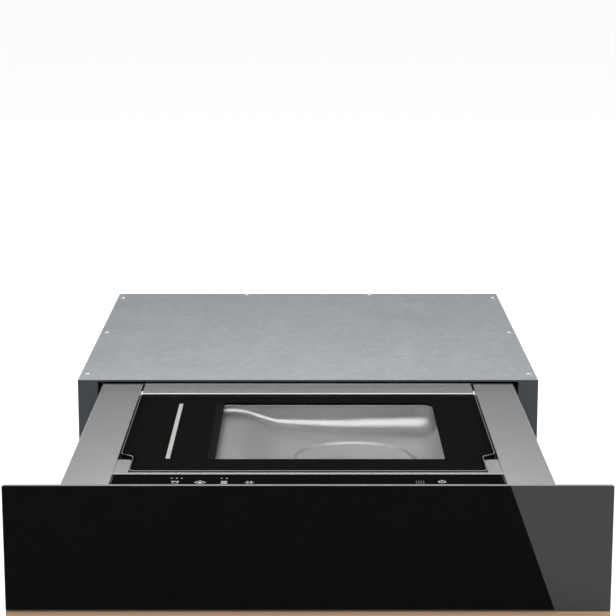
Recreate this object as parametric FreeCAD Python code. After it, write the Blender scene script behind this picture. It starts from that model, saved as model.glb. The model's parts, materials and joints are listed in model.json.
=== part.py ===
import FreeCAD, Part

# Built-in vacuum sealing drawer for a 60 cm kitchen niche.
# A steel case stays in the niche. A drawer on telescopic slides carries a glass front,
# a touch panel, a drawn vacuum chamber with a lifting sealing bar, and a hinged glass lid.
# Millimetres. X runs right, Y runs back into the niche, Z runs up. The origin is the centre
# of the case's underside. The drawer is modelled pulled fully out, with the lid closed.

import os
from math import cos, radians, sin

V = FreeCAD.Vector

# Case and its opening
case_height = 126.4
case_side_room = 31.0
case_back_room = 43.0
case_sheet = 1.0
case_lip = 12.0
frame_flange = 24.0
frame_sill = 4.0
frame_rail = 2.0
frame_sheet = 1.5
bead_depth = 0.8
bead_width = 14.0
bead_setback = 60.0
vent_count = 9
vent_width = 5.0
vent_height = 34.0
vent_pitch = 14.0
screw_hole_radius = 2.25
screw_hole_setback = 14.0
screw_hole_spacing = 70.0
inlet_width = 50.0
inlet_height = 32.0
inlet_depth = 22.0

# Glass front
front_width = 597.0
front_height = 135.0
front_depth = 22.0
front_drop = 3.0
front_gap = 1.0
glass_thick = 4.0
glass_corner = 2.0
trim_height = 5.5
trim_leg = 1.5
carrier_inset = 6.5
carrier_top_drop = 27.0
carrier_lap = 3.0
carrier_sheet = 1.2
bumper_radius = 5.0
bracket_width = 40.0
bracket_sheet = 2.0

# Drawer run and slides
drawer_travel = 422.0
slide_length = 450.0
slide_middle_short = 10.0
slide_setback = 4.0
slide_height = 45.8
slide_thick = 12.7
slide_sheet = 1.2
slide_centre = 60.0
slide_balls = 2
outer_ball_gap = 4.8
inner_ball_gap = 3.6
cage_length = 200.0
cage_sheet = 0.6
ball_play = 0.05
spacer_sheet = 2.0
spacer_foot = 12.0
spacer_web = 36.0
spacer_windows = 6
spacer_window = (30.0, 14.0)
spacer_window_pitch = 70.0

# Drawer tray
tray_overhang = 9.0
tray_floor = 8.0
tray_sheet = 1.2
tray_lip = 10.0
tray_length = 483.0
tray_vents = 8
tray_vent_length = 50.0
tray_vent_setback = 40.0
tray_vent_x = 40.0

# Deck, from the front face backwards
deck_level = 122.5
deck_width = 492.0
trim_sheet = 1.0
trim_skirt = 12.0
deck_sheet = 1.2
deck_flange_inset = 6.0
side_strip_width = 48.2
recess_depth = 14.0
finger_dish = 3.5
finger_dish_gap = 1.2
rib_start = 69.5
rib_end = 75.7
trough_start = 398.0
trough_end = 452.2
trough_depth = 40.5

# Vacuum chamber
chamber_left_inset = 32.8
chamber_right_inset = 47.8
chamber_start = 106.0
chamber_end = 366.0
chamber_depth = 43.0
shelf_depth = 24.5
shelf_width = 68.0
ramp_run = 50.0
ramp_slope = 0.28
chamber_sheet = 1.2
chamber_corner = 24.0
ramp_corner = 7.0
chamber_bevel = 4.5
shelf_bevel = 2.0
chamber_rim = 16.0
bead_ring_radius = 65.8
bead_ring_inset = 98.4
bead_ring_back = 240.0
bead_ring_round = 4.0
bead_ring_rise = 1.2
gasket_inset = 4.0
gasket_width = 9.0

# Lid
lid_side_gap = 1.8
lid_start = 81.0
lid_end = 391.0
lid_thick = 10.0
lid_proud = 0.2
lid_corner = 5.0
notch_width = 13.6
notch_length = 53.5
notch_slant = 8.5
notch_round = 7.0
edge_bevel = 0.6
seal_gap = 0.3

# Lid hinge
rail_side_gap = 3.0
rail_start = 393.0
rail_end = 443.7
rail_proud = 0.7
rail_sheet = 2.0
rail_shelf = 12.0
hinge_back = 414.6
hinge_level = 114.0
pin_radius = 4.0
pin_play = 0.05
pin_reach = 12.2
lug_inset = 10.8
lug_thick = 4.0
lug_radius = 7.0
bearing_thick = 14.0
bearing_size = 24.0

# Touch panel
panel_side_gap = 1.8
panel_start = 4.5
panel_end = 69.0
panel_glass = 4.0
panel_pod_depth = 12.0
panel_pod_inset = 6.0
panel_pod_wall = 2.0
panel_ear = 19.0
board_thick = 1.6

# Sealing bar and its lift
bar_inset = 20.0
bar_back = 241.0
bar_length = 230.0
bar_width = 14.0
bar_height = 12.0
bar_top_width = 9.0
strip_width = 5.0
strip_thick = 0.6
counter_width = 12.0
counter_thick = 2.5
bar_lift = 2.6
bar_clearance = 0.3
piston_radius = 4.0
piston_spread = 170.0
piston_length = 24.0
well_gap = 4.0
well_depth = 32.5
well_corner = 6.0
cylinder_half = 11.0
cylinder_length = 32.0

# Vacuum plant
port_inset = 48.0
port_back = 233.0
port_radius = 5.0
port_bore = 3.5
port_flange = 7.5
port_flange_thick = 2.0
block_width = 50.0
block_top = 62.0
solenoid_radius = 9.0
solenoid_length = 22.0
hose_level = 42.0
hose_radius = 6.0
hose_bore = 4.0
barb_length = 12.0
pump_x = 24.0
pump_head_length = 60.0
pump_head_width = 88.0
pump_height = 52.0
pump_fins = 5
motor_radius = 27.0
motor_length = 104.0
mount_height = 6.0
mount_radius = 8.0
filter_radius = 15.0
filter_length = 46.0

# Power parts
toroid_x = -110.0
toroid_back = 68.0
toroid_radius = 41.0
toroid_hole = 12.0
toroid_height = 36.0
toroid_bevel = 8.0
power_inset = 107.0
power_back = 420.0
power_width = 130.0
power_length = 62.0
standoff = 8.0
capacitor_radius = 11.0
capacitor_height = 32.0
relay_size = 20.0
relay_height = 16.0
sink_length = 38.0
sink_height = 24.0
sink_fins = 4
sink_pitch = 8.0

# Lid switch and push latch
switch_inset = 13.8
switch_back = 240.0
switch_size = 12.0
switch_stem = 2.5
switch_travel = 1.5
latch_width = 60.0
latch_height = 34.0
latch_length = 40.0
latch_plunger_radius = 5.0
latch_travel = 30.0
latch_play = 0.1
latch_reach = 1.7
fit_gap = 0.3

# Derived places
case_width = deck_width + 2 * case_side_room
case_depth = tray_length + case_back_room - front_gap
case_front = -case_depth / 2
case_back = case_depth / 2
face = case_front - front_gap - front_depth - drawer_travel
opening_half = case_width / 2 - frame_flange
opening_top = case_height - frame_rail
front_bottom = -front_drop
front_top = front_bottom + front_height
glass_back = face + glass_thick
carrier_back = face + front_depth
tray_half = deck_width / 2 - tray_overhang
tray_front = carrier_back
tray_back = tray_front + tray_length
recess_half = deck_width / 2 - side_strip_width
recess_level = deck_level - recess_depth
deck_top = deck_level - trim_sheet
lid_half_width = recess_half - lid_side_gap
panel_half = recess_half - panel_side_gap
rail_half = recess_half - rail_side_gap
lid_top = deck_level + lid_proud
lid_under = lid_top - lid_thick
shelf_level = deck_level - shelf_depth
floor_level = deck_level - chamber_depth
chamber_left = -recess_half + chamber_left_inset
chamber_right = recess_half - chamber_right_inset
ramp_head = chamber_left + shelf_width
ramp_foot = ramp_head + ramp_run
bar_x = chamber_left + bar_inset
port_x = chamber_left + port_inset
switch_x = recess_half - switch_inset
tray_inside = tray_floor + tray_sheet
power_x = power_inset - tray_half
hinge_y = face + hinge_back
slide_x = tray_half + slide_thick
counter_under = lid_under - counter_thick
strip_top = counter_under - bar_clearance - bar_lift
bar_top = strip_top - strip_thick
bar_y = [face + bar_back + side * bar_length / 2 for side in (-1, 1)]
well_level = deck_level - well_depth


def box(x0, x1, y0, y1, z0, z1):
    """A block between two corners."""
    return Part.makeBox(x1 - x0, y1 - y0, z1 - z0, V(x0, y0, z0))


def rod(radius, start, end):
    """A round bar from start to end."""
    run = V(*end) - V(*start)
    return Part.makeCylinder(radius, run.Length, V(*start), run)


def polygon(points):
    """A flat face from its corners."""
    corners = [V(*p) for p in points]
    return Part.Face(Part.makePolygon(corners + corners[:1]))


def along_x(profile, x0, x1):
    """A section of (y, z) corners drawn along X."""
    return polygon([(x0, y, z) for y, z in profile]).extrude(V(x1 - x0, 0, 0))


def along_y(profile, y0, y1):
    """A section of (x, z) corners drawn along Y."""
    return polygon([(x, y0, z) for x, z in profile]).extrude(V(0, y1 - y0, 0))


def edges_along(shape, axis, test=lambda box: True):
    """The straight edges of a solid that run along one axis."""
    found = []
    for edge in shape.Edges:
        ends = [v.Point for v in edge.Vertexes]
        if len(ends) == 2 and abs((ends[1] - ends[0]).normalize().dot(V(*axis))) > 0.999999:
            if test(edge.BoundBox):
                found.append(edge)
    return found


def edges_at(shape, level):
    """The edges that lie flat at one height."""
    return [e for e in shape.Edges
            if abs(e.BoundBox.ZMin - level) < 1e-4 and abs(e.BoundBox.ZMax - level) < 1e-4]


def rounded(x0, x1, y0, y1, z0, z1, radius, axis=(0, 0, 1)):
    """A block with the four edges along one axis rounded."""
    block = box(x0, x1, y0, y1, z0, z1)
    return block.makeFillet(radius, edges_along(block, axis))


def join(first, *others):
    """Several touching solids made one."""
    return first.fuse(list(others)).removeSplitter()


def flat_sided(sides, radius, start, end):
    """A hidden round bar drawn with a few flat sides, which keeps the model light."""
    run = V(*end) - V(*start)
    turns = [radians(360 * (i + 0.5) / sides) for i in range(sides)]
    bar = polygon([(radius * cos(t), radius * sin(t), 0) for t in turns]).extrude(V(0, 0, run.Length))
    bar.Placement = FreeCAD.Placement(V(*start), FreeCAD.Rotation(V(0, 0, 1), run))
    return bar


def faceted_ball(radius, x, y, z):
    """A small hidden ball, as the common part of two eight-sided bars."""
    across = flat_sided(8, radius, (x - radius * 0.9, y, z), (x + radius * 0.9, y, z))
    upright = flat_sided(8, radius, (x, y, z - radius), (x, y, z + radius))
    return across.common(upright)


def other_side(shape):
    """The same piece on the left of the drawer."""
    return shape.mirror(V(0, 0, 0), V(1, 0, 0))


parts = {}

# Case shell: one folded sheet with floor, sides, vented back and a lip for the cover
shell_front = case_front + frame_sheet
cover_under = case_height - case_sheet
half = case_width / 2
shell = box(-half, half, shell_front, case_back, 0, cover_under)
shell = shell.cut(box(-half + case_sheet, half - case_sheet, shell_front - 1, case_back - case_sheet,
                      case_sheet, cover_under - case_sheet))
shell = shell.cut(box(-half + case_lip, half - case_lip, shell_front - 1, case_back - case_lip,
                      cover_under - 2 * case_sheet, cover_under + 1))
for i in range(vent_count):
    x = (i - (vent_count - 1) / 2) * vent_pitch - half / 2
    shell = shell.cut(box(x - vent_width / 2, x + vent_width / 2, case_back - 2 * case_sheet, case_back + 1,
                          (case_height - vent_height) / 2, (case_height + vent_height) / 2))
hole_y = case_front + screw_hole_setback
for side in (-1, 1):
    for up in (-0.5, 0.5):
        z = case_height / 2 + up * screw_hole_spacing
        shell = shell.cut(rod(screw_hole_radius, (side * (half - 2), hole_y, z), (side * (half + 1), hole_y, z)))
inlet_x = half - case_lip - inlet_width
inlet_z = case_sheet + 20
shell = shell.cut(box(inlet_x, inlet_x + inlet_width, case_back - 2 * case_sheet, case_back + 1,
                      inlet_z, inlet_z + inlet_height))
parts["case_shell"] = shell

# Case cover: a flat sheet with two pressed beads
cover = box(-half, half, shell_front, case_back, cover_under, case_height)
for side in (-1, 1):
    x = side * half / 2
    ends = (case_front + bead_setback, case_back - bead_setback)
    bead = rounded(x - bead_width / 2, x + bead_width / 2, ends[0], ends[1],
                   cover_under - bead_depth, case_height - case_sheet + 0.001, 0.45 * bead_width)
    hollow = rounded(x - bead_width / 2 + 1, x + bead_width / 2 - 1, ends[0] + 1, ends[1] - 1,
                     case_height - bead_depth, case_height + 1, 0.45 * bead_width - 1)
    cover = cover.fuse(bead).cut(hollow)
parts["case_cover"] = cover.removeSplitter()

# Front frame: coated sheet with the drawer opening, its edges folded back
fold = 8.0
surround = box(-half, half, case_front, shell_front, 0, case_height)
surround = surround.cut(box(-opening_half, opening_half, case_front - 1, shell_front + 1,
                            frame_sill, opening_top))
for side in (-1, 1):
    x = sorted((side * opening_half, side * (opening_half + frame_sheet)))
    surround = surround.fuse(box(x[0], x[1], case_front, shell_front + fold, frame_sill, opening_top))
parts["front_frame"] = surround.removeSplitter()

# Mains inlet in the back wall, with its three pin slots
inlet = box(inlet_x, inlet_x + inlet_width, case_back - inlet_depth, case_back, inlet_z, inlet_z + inlet_height)
mouth = rounded(inlet_x + 9, inlet_x + inlet_width - 9, case_back - inlet_depth + 6, case_back + 1,
                inlet_z + 6, inlet_z + inlet_height - 6, 3, (0, 1, 0))
inlet = inlet.cut(mouth)
for i in (-1, 0, 1):
    x = inlet_x + inlet_width / 2 + 8 * i
    z = inlet_z + inlet_height / 2 + (3 if i == 0 else -3)
    inlet = inlet.fuse(box(x - 1, x + 1, case_back - inlet_depth + 5, case_back - 5, z - 2, z + 2))
parts["mains_inlet"] = inlet.removeSplitter()


# Telescopic slides: cabinet, middle and drawer members with two ball cages a side
def channel(depth0, depth1, reach, web_at_case, lip=0.0):
    """A C section in (depth, height): depth counts from the tray outwards, height from the centre."""
    s = slide_sheet
    if web_at_case:
        near, far = depth0, depth1
        pts = [(far, reach), (near, reach)]
        if lip:
            pts += [(near, reach - s - lip), (near + s, reach - s - lip), (near + s, reach - s)]
        else:
            pts += [(near, reach - s)]
        pts += [(far - s, reach - s)]
    else:
        near, far = depth0, depth1
        pts = [(near, reach), (far, reach), (far, reach - s), (near + s, reach - s)]
    return pts + [(d, -h) for d, h in reversed(pts)]


def slide_member(profile, y0, length):
    """A right-hand slide member from its section."""
    section = [(tray_half + d, slide_centre + h) for d, h in profile]
    return along_y(section, y0, y0 + length)


outer_reach = slide_height / 2
middle_reach = outer_reach - slide_sheet - outer_ball_gap
inner_reach = middle_reach - slide_sheet - inner_ball_gap
middle_web = slide_thick - 2 * slide_sheet - 2 * cage_sheet - 0.4
slide_start = case_front + slide_setback
outer_slide = slide_member(channel(2.7, slide_thick, outer_reach, True, 1.2), slide_start, slide_length)
middle_slide = slide_member(channel(1.7, middle_web + slide_sheet, middle_reach, True),
                            slide_start + slide_middle_short / 2 - drawer_travel / 2,
                            slide_length - slide_middle_short)
inner_slide = slide_member(channel(0, 6.0, inner_reach, False), slide_start - drawer_travel, slide_length)


def ball_cage(middle_height, gap, depth, web, share):
    """Two rows of balls in a strip, joined by a web, at a share of the drawer's travel."""
    start = slide_start + (slide_length - cage_length) / 2 - share * drawer_travel
    ball = gap / 2 - ball_play
    strip = ball * 0.55
    x = tray_half + depth
    out = tray_half + web
    cage = box(out - cage_sheet, out, start, start + cage_length,
               slide_centre - middle_height - cage_sheet / 2, slide_centre + middle_height + cage_sheet / 2)
    for side in (-1, 1):
        z = slide_centre + side * middle_height
        cage = cage.fuse(box(x - strip, out, start, start + cage_length, z - cage_sheet / 2, z + cage_sheet / 2))
        for i in range(slide_balls):
            y = start + (i + 0.5) * cage_length / slide_balls
            cage = cage.fuse(faceted_ball(ball, x, y, z))
    return cage.removeSplitter()


outer_cage = ball_cage(outer_reach - slide_sheet - outer_ball_gap / 2, outer_ball_gap, 6.4,
                       slide_thick - slide_sheet - 0.3, 0.25)
inner_cage = ball_cage(middle_reach - slide_sheet - inner_ball_gap / 2, inner_ball_gap, 4.2,
                       middle_web - 0.3, 0.75)
spacer_out = half - case_sheet
web = spacer_web / 2
spacer_profile = [(slide_x, -web), (slide_x, web), (spacer_out - spacer_sheet, web),
                  (spacer_out - spacer_sheet, web + spacer_foot), (spacer_out, web + spacer_foot),
                  (spacer_out, web - spacer_sheet), (slide_x + spacer_sheet, web - spacer_sheet),
                  (slide_x + spacer_sheet, -web + spacer_sheet), (spacer_out, -web + spacer_sheet),
                  (spacer_out, -web - spacer_foot), (spacer_out - spacer_sheet, -web - spacer_foot),
                  (spacer_out - spacer_sheet, -web)]
spacer = along_y([(x, slide_centre + z) for x, z in spacer_profile],
                 shell_front + fold + 4, slide_start + slide_length)
for i in range(spacer_windows):
    y = slide_start + slide_length / 2 + (i - (spacer_windows - 1) / 2) * spacer_window_pitch
    spacer = spacer.cut(box(slide_x - 1, slide_x + spacer_sheet + 1,
                            y - spacer_window[0] / 2, y + spacer_window[0] / 2,
                            slide_centre - spacer_window[1] / 2, slide_centre + spacer_window[1] / 2))
for name, piece in (("slide_outer", outer_slide), ("cage_outer", outer_cage), ("slide_middle", middle_slide),
                    ("cage_inner", inner_cage), ("slide_inner", inner_slide), ("slide_spacer", spacer)):
    parts[name + "_right"] = piece
    parts[name + "_left"] = other_side(piece)

# Drawer tray: folded sheet, open above, with an inward lip and a vented floor
tray = box(-tray_half, tray_half, tray_front, tray_back, tray_floor, deck_top - deck_sheet)
tray = tray.cut(box(-tray_half + tray_sheet, tray_half - tray_sheet, tray_front + tray_sheet,
                    tray_back - tray_sheet, tray_inside, deck_top - deck_sheet - tray_sheet))
tray = tray.cut(box(-tray_half + tray_lip, tray_half - tray_lip, tray_front + tray_lip, tray_back - tray_lip,
                    tray_inside, deck_top))
vent_back = tray_back - tray_vent_setback
for i in range(tray_vents):
    x = tray_vent_x + i * vent_pitch
    tray = tray.cut(box(x - vent_width / 2, x + vent_width / 2, vent_back - tray_vent_length, vent_back,
                        tray_floor - 1, tray_inside + 1))
cutout = box(-panel_half - panel_ear, panel_half + panel_ear, tray_front - 1, tray_front + tray_lip + 1,
             deck_top - panel_glass - panel_pod_depth - 1, deck_top)
parts["drawer_tray"] = tray.cut(cutout)

# Front carrier: a folded pan behind the glass, with wide lips that meet the case
carrier_half = front_width / 2 - carrier_inset
carrier_low = front_bottom + trim_leg
carrier_high = front_top - carrier_top_drop
carrier = box(-carrier_half, carrier_half, glass_back, carrier_back, carrier_low, carrier_high)
carrier = carrier.cut(box(-carrier_half + carrier_sheet, carrier_half - carrier_sheet,
                          glass_back + carrier_sheet, carrier_back - carrier_sheet,
                          carrier_low + carrier_sheet, carrier_high - carrier_sheet))
carrier = carrier.cut(box(-opening_half + carrier_lap, opening_half - carrier_lap,
                          glass_back + carrier_sheet, carrier_back + 1,
                          carrier_low + 12, carrier_high - 12))
parts["front_carrier"] = carrier

# Two folded brackets tie the carrier to the tray's front wall
bracket_out = tray_half - 17
bracket_low = carrier_low + 12 + fit_gap
bracket_high = carrier_high - 12 - fit_gap
bracket = along_x([(glass_back + carrier_sheet, bracket_low), (glass_back + carrier_sheet, bracket_high),
                   (tray_front, bracket_high), (tray_front, bracket_high - 24),
                   (tray_front - bracket_sheet, bracket_high - 24),
                   (tray_front - bracket_sheet, bracket_high - bracket_sheet),
                   (glass_back + carrier_sheet + bracket_sheet, bracket_high - bracket_sheet),
                   (glass_back + carrier_sheet + bracket_sheet, bracket_low + bracket_sheet),
                   (tray_front - bracket_sheet, bracket_low + bracket_sheet),
                   (tray_front - bracket_sheet, bracket_low + 24), (tray_front, bracket_low + 24),
                   (tray_front, bracket_low)], bracket_out - bracket_width, bracket_out)
parts["front_bracket_right"] = bracket
parts["front_bracket_left"] = other_side(bracket)

# Front glass with ground edges, over a metal strip that wraps under it
glass_low = front_bottom + trim_height
glass = rounded(-front_width / 2, front_width / 2, face, glass_back, glass_low, front_top, glass_corner, (0, 1, 0))
front_edges = [e for e in glass.Edges if e.BoundBox.YMax < face + 1e-4]
parts["front_glass"] = glass.makeChamfer(edge_bevel, front_edges)
strip = along_x([(face, front_bottom), (face, glass_low), (glass_back, glass_low),
                 (glass_back, carrier_low), (carrier_back - 2, carrier_low), (carrier_back - 2, front_bottom)],
                -front_width / 2, front_width / 2)
strip_edges = edges_along(strip, (1, 0, 0), lambda b: b.YMax < face + 1e-4 and b.ZMax < front_bottom + 1)
parts["front_strip"] = strip.makeFillet(1.2, strip_edges)

# Rubber bumpers on the carrier's lips, which meet the case frame
bumper_x = opening_half + frame_flange / 2
pads = [flat_sided(12, bumper_radius, (side * bumper_x, carrier_back, z), (side * bumper_x, carrier_back + front_gap, z))
        for side in (-1, 1) for z in (frame_sill + 16, carrier_high - 16)]
parts["front_bumpers"] = Part.makeCompound(pads)

# Deck pan: a pressed plate with the lid recess, the rib behind the touch panel and the hinge trough
deck_front = face + panel_start
deck_back = tray_back - fit_gap
flange_half = deck_width / 2 - deck_flange_inset
wall_out = recess_half + deck_sheet
floor_low = recess_level - deck_sheet
trough_low = deck_level - trough_depth - deck_sheet
rib_y = (face + rib_start, face + rib_end)
trough_y = (face + trough_start, face + trough_end)
pan = box(-flange_half, flange_half, deck_front, deck_back, deck_top - deck_sheet, deck_top)
pan = pan.fuse([
    box(-wall_out, wall_out, rib_y[0], trough_y[1], floor_low, deck_top),
    box(-wall_out, wall_out, trough_y[0], trough_y[1], trough_low, deck_top)])
pan = pan.cut([
    box(-recess_half, recess_half, deck_front - 1, rib_y[0], trough_low, deck_top + 1),
    box(-recess_half, recess_half, rib_y[0] - 1, trough_y[1] - deck_sheet, recess_level, deck_top + 1),
    box(-recess_half, recess_half, trough_y[0] + deck_sheet, trough_y[1] - deck_sheet,
        trough_low + deck_sheet, deck_top + 1)])
pan = pan.fuse(box(-recess_half, recess_half, rib_y[0], rib_y[1], floor_low, deck_level))
pan = pan.cut(box(-recess_half, recess_half, rib_y[0] + deck_sheet, rib_y[1] - deck_sheet,
                  floor_low - 1, deck_level - deck_sheet))
dish_x = (lid_half_width - notch_width + finger_dish_gap, wall_out)
dish_y = (rib_y[1] - deck_sheet, face + lid_start + notch_length - finger_dish_gap)
dish_top = deck_level - finger_dish
dish = box(dish_x[0], dish_x[1], dish_y[0], dish_y[1], floor_low, dish_top)
dish = dish.cut(box(dish_x[0] + deck_sheet, dish_x[1] - deck_sheet, dish_y[0] + deck_sheet,
                    dish_y[1] - deck_sheet, floor_low - 1, dish_top - deck_sheet))
pan = pan.fuse([dish, other_side(dish)])
chamber_y = (face + chamber_start, face + chamber_end)
pan = pan.cut(rounded(chamber_left, chamber_right, chamber_y[0], chamber_y[1],
                      floor_low - 1, recess_level + 1, chamber_corner))
pan = pan.cut(rod(pin_radius + 1, (-wall_out - 1, hinge_y, hinge_level), (wall_out + 1, hinge_y, hinge_level)))
switch_y = face + switch_back
pan = pan.cut(rod(switch_stem + fit_gap, (switch_x, switch_y, floor_low - 1), (switch_x, switch_y, recess_level + 1)))
parts["deck_pan"] = pan.removeSplitter()

# Brushed side strips with a turned-down outer edge
trim_out = deck_width / 2
trim_profile = [(recess_half, deck_top), (recess_half, deck_level), (trim_out, deck_level),
                (trim_out, deck_level - trim_skirt), (trim_out - trim_sheet, deck_level - trim_skirt),
                (trim_out - trim_sheet, deck_top)]
side_strip = along_y(trim_profile, glass_back + fit_gap, deck_back)
strip_edge = edges_along(side_strip, (0, 1, 0), lambda b: b.XMin > trim_out - 1e-4 and b.ZMin > deck_level - 1e-4)
side_strip = side_strip.makeFillet(0.8, strip_edge)
parts["side_strip_right"] = side_strip
parts["side_strip_left"] = other_side(side_strip)


# Vacuum chamber: drawn tub with a raised shelf for the sealing bar and a pressed ring in its floor
def chamber_form(grow):
    """The tub's filled shape, grown outwards by a wall: floor, ramped shelf and the bar's well."""
    y0, y1 = chamber_y[0] - grow, chamber_y[1] + grow
    floor = box(ramp_foot - grow, chamber_right + grow, y0, y1, floor_level - grow, floor_low)
    for corner, side in ((chamber_corner, lambda b: b.XMin > 0), (ramp_corner, lambda b: b.XMin < 0)):
        floor = floor.makeFillet(corner + grow, edges_along(floor, (0, 0, 1), side))
    floor = floor.makeChamfer(chamber_bevel + 0.6 * grow, edges_at(floor, floor_level - grow))
    shelf_end = ramp_foot + 2 * ramp_corner
    shelf_foot = shelf_level - ramp_slope * (shelf_end - ramp_head)
    shelf = along_y([(chamber_left - grow, floor_low), (chamber_left - grow, shelf_level - grow),
                     (ramp_head, shelf_level - grow), (shelf_end, shelf_foot - grow), (shelf_end, floor_low)], y0, y1)
    shelf = shelf.makeFillet(chamber_corner + grow, edges_along(shelf, (0, 0, 1), lambda b: b.XMin < ramp_head))
    shelf = shelf.makeChamfer(shelf_bevel + 0.6 * grow, [
        e for e in edges_at(shelf, shelf_level - grow) if e.BoundBox.XMin < ramp_head - 1])
    well = rounded(bar_x - bar_width / 2 - well_gap - grow, bar_x + bar_width / 2 + well_gap + grow,
                   bar_y[0] - well_gap - grow, bar_y[1] + well_gap + grow, well_level - grow, floor_low,
                   well_corner + grow)
    return floor.fuse([shelf, well])


tub = chamber_form(chamber_sheet).cut(chamber_form(0))
rim = rounded(chamber_left - chamber_rim, chamber_right + chamber_rim, chamber_y[0] - chamber_rim,
              chamber_y[1] + chamber_rim, floor_low - chamber_sheet, floor_low, chamber_corner + chamber_rim / 2)
rim = rim.cut(rounded(chamber_left, chamber_right, chamber_y[0], chamber_y[1],
                      floor_low - chamber_sheet - 1, floor_low + 1, chamber_corner))
tub = tub.fuse(rim)
ring_x = chamber_right - bead_ring_inset
ring_at = V(ring_x, face + bead_ring_back, 0)
ring = polygon([(ring_x + bead_ring_radius + r, face + bead_ring_back, floor_level + h) for r, h in (
    (-bead_ring_round, -chamber_sheet / 2), (-bead_ring_round, 0), (-bead_ring_round / 3, bead_ring_rise),
    (bead_ring_round / 3, bead_ring_rise), (bead_ring_round, 0), (bead_ring_round, -chamber_sheet / 2))])
tub = tub.fuse(ring.revolve(ring_at, V(0, 0, 1), 360))
port_y = face + port_back
tub = tub.cut(rod(port_radius, (port_x, port_y, 0), (port_x, port_y, deck_level)))
piston_y = [face + bar_back + side * piston_spread / 2 for side in (-1, 1)]
for y in piston_y:
    tub = tub.cut(rod(piston_radius + 1, (bar_x, y, 0), (bar_x, y, deck_level)))
parts["chamber_tub"] = tub.removeSplitter()

# Chamber gasket: a closed rubber ring under the lid
gasket_top = lid_under - seal_gap
inner = gasket_inset
outer = gasket_inset + gasket_width
gasket = rounded(chamber_left - outer, chamber_right + outer, chamber_y[0] - outer, chamber_y[1] + outer,
                 recess_level, gasket_top, chamber_corner + outer)
gasket = gasket.cut(rounded(chamber_left - inner, chamber_right + inner, chamber_y[0] - inner,
                            chamber_y[1] + inner, recess_level - 1, gasket_top + 1, chamber_corner + inner))
parts["chamber_gasket"] = gasket

# Touch panel: glass, moulded pod with ears under the deck, and its circuit board
panel_y = (face + panel_start, face + panel_end)
panel_low = deck_level - panel_glass
panel = rounded(-panel_half, panel_half, panel_y[0], panel_y[1], panel_low, deck_level, 1.5)
parts["panel_glass"] = panel
pod_low = panel_low - panel_pod_depth
pod_x = panel_half - panel_pod_inset
pod_y = (panel_y[0] + panel_pod_inset, panel_y[1] - panel_pod_inset)
pod = box(-pod_x, pod_x, pod_y[0], pod_y[1], pod_low, panel_low)
pod = pod.cut(box(-pod_x + panel_pod_wall, pod_x - panel_pod_wall, pod_y[0] + panel_pod_wall,
                  pod_y[1] - panel_pod_wall, pod_low + panel_pod_wall, panel_low + 1))
ear_top = deck_top - deck_sheet
for side in (-1, 1):
    for y in (pod_y[0], pod_y[1] - 14):
        x = sorted((side * (pod_x - panel_pod_wall), side * (pod_x + panel_ear)))
        ear = box(x[0], x[1], y, y + 14, ear_top - 3, ear_top)
        lap = sorted((side * (pod_x - panel_pod_wall), side * (recess_half - 1)))
        pod = pod.fuse(ear).cut(box(lap[0], lap[1], y - 1, y + 15, panel_low, ear_top + 1))
ledge = 3.0
pod = pod.fuse([box(-pod_x + panel_pod_wall, pod_x - panel_pod_wall, y, y + ledge, pod_low + panel_pod_wall,
                    panel_low - board_thick - 2)
                for y in (pod_y[0] + panel_pod_wall, pod_y[1] - panel_pod_wall - ledge)])
parts["panel_pod"] = pod.removeSplitter()
board_low = panel_low - board_thick - 2
parts["panel_board"] = box(-pod_x + panel_pod_wall + fit_gap, pod_x - panel_pod_wall - fit_gap,
                           pod_y[0] + panel_pod_wall + fit_gap, pod_y[1] - panel_pod_wall - fit_gap,
                           board_low, board_low + board_thick)

# Glass lid: thick plate with a finger notch cut from each front corner and ground edges
front, back = face + lid_start, face + lid_end
w, n = lid_half_width, lid_half_width - notch_width
outline = [(-n, front), (n, front), (n, front + notch_length), (w, front + notch_length + notch_slant),
           (w, back), (-w, back), (-w, front + notch_length + notch_slant), (-n, front + notch_length)]
lid = polygon([(x, y, lid_under) for x, y in outline]).extrude(V(0, 0, lid_thick))
lid = lid.makeFillet(notch_round, edges_along(lid, (0, 0, 1), lambda b: b.YMax < front + 1))
lid = lid.makeFillet(lid_corner, edges_along(lid, (0, 0, 1), lambda b: b.YMax > front + 1))
lid = lid.makeChamfer(edge_bevel, edges_at(lid, lid_top))
parts["lid_glass"] = lid

# Counter strip: clear rubber under the lid, over the sealing bar
parts["counter_strip"] = box(bar_x - counter_width / 2, bar_x + counter_width / 2, bar_y[0], bar_y[1],
                             counter_under, lid_under)

# Hinge rail: folded steel that carries the glass on a shelf and turns on two stub pins
rail_top = deck_level + rail_proud
shelf_top = lid_under
rail_y = (face + rail_start, face + rail_end)
s = rail_sheet
rail_profile = [(rail_y[0], rail_top), (rail_y[1], rail_top), (rail_y[1], rail_top - 6),
                (rail_y[1] - s, rail_top - 6), (rail_y[1] - s, rail_top - s), (rail_y[0] + s, rail_top - s),
                (rail_y[0] + s, shelf_top - s), (rail_y[0] - rail_shelf, shelf_top - s),
                (rail_y[0] - rail_shelf, shelf_top), (rail_y[0], shelf_top)]
rail = along_x(rail_profile, -rail_half, rail_half)
rail = rail.makeFillet(1.4, edges_along(rail, (1, 0, 0), lambda b: b.ZMin > rail_top - 1e-4))
lug_in = rail_half - lug_inset
for side in (-1, 1):
    x = sorted((side * lug_in, side * (lug_in + lug_thick)))
    lug = box(x[0], x[1], hinge_y - lug_radius, hinge_y + lug_radius, hinge_level, rail_top - s)
    lug = lug.fuse(rod(lug_radius, (x[0], hinge_y, hinge_level), (x[1], hinge_y, hinge_level)))
    pin = rod(pin_radius, (side * lug_in, hinge_y, hinge_level), (side * (recess_half + pin_reach), hinge_y, hinge_level))
    rail = rail.fuse([lug, pin])
parts["hinge_rail"] = rail.removeSplitter()

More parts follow.
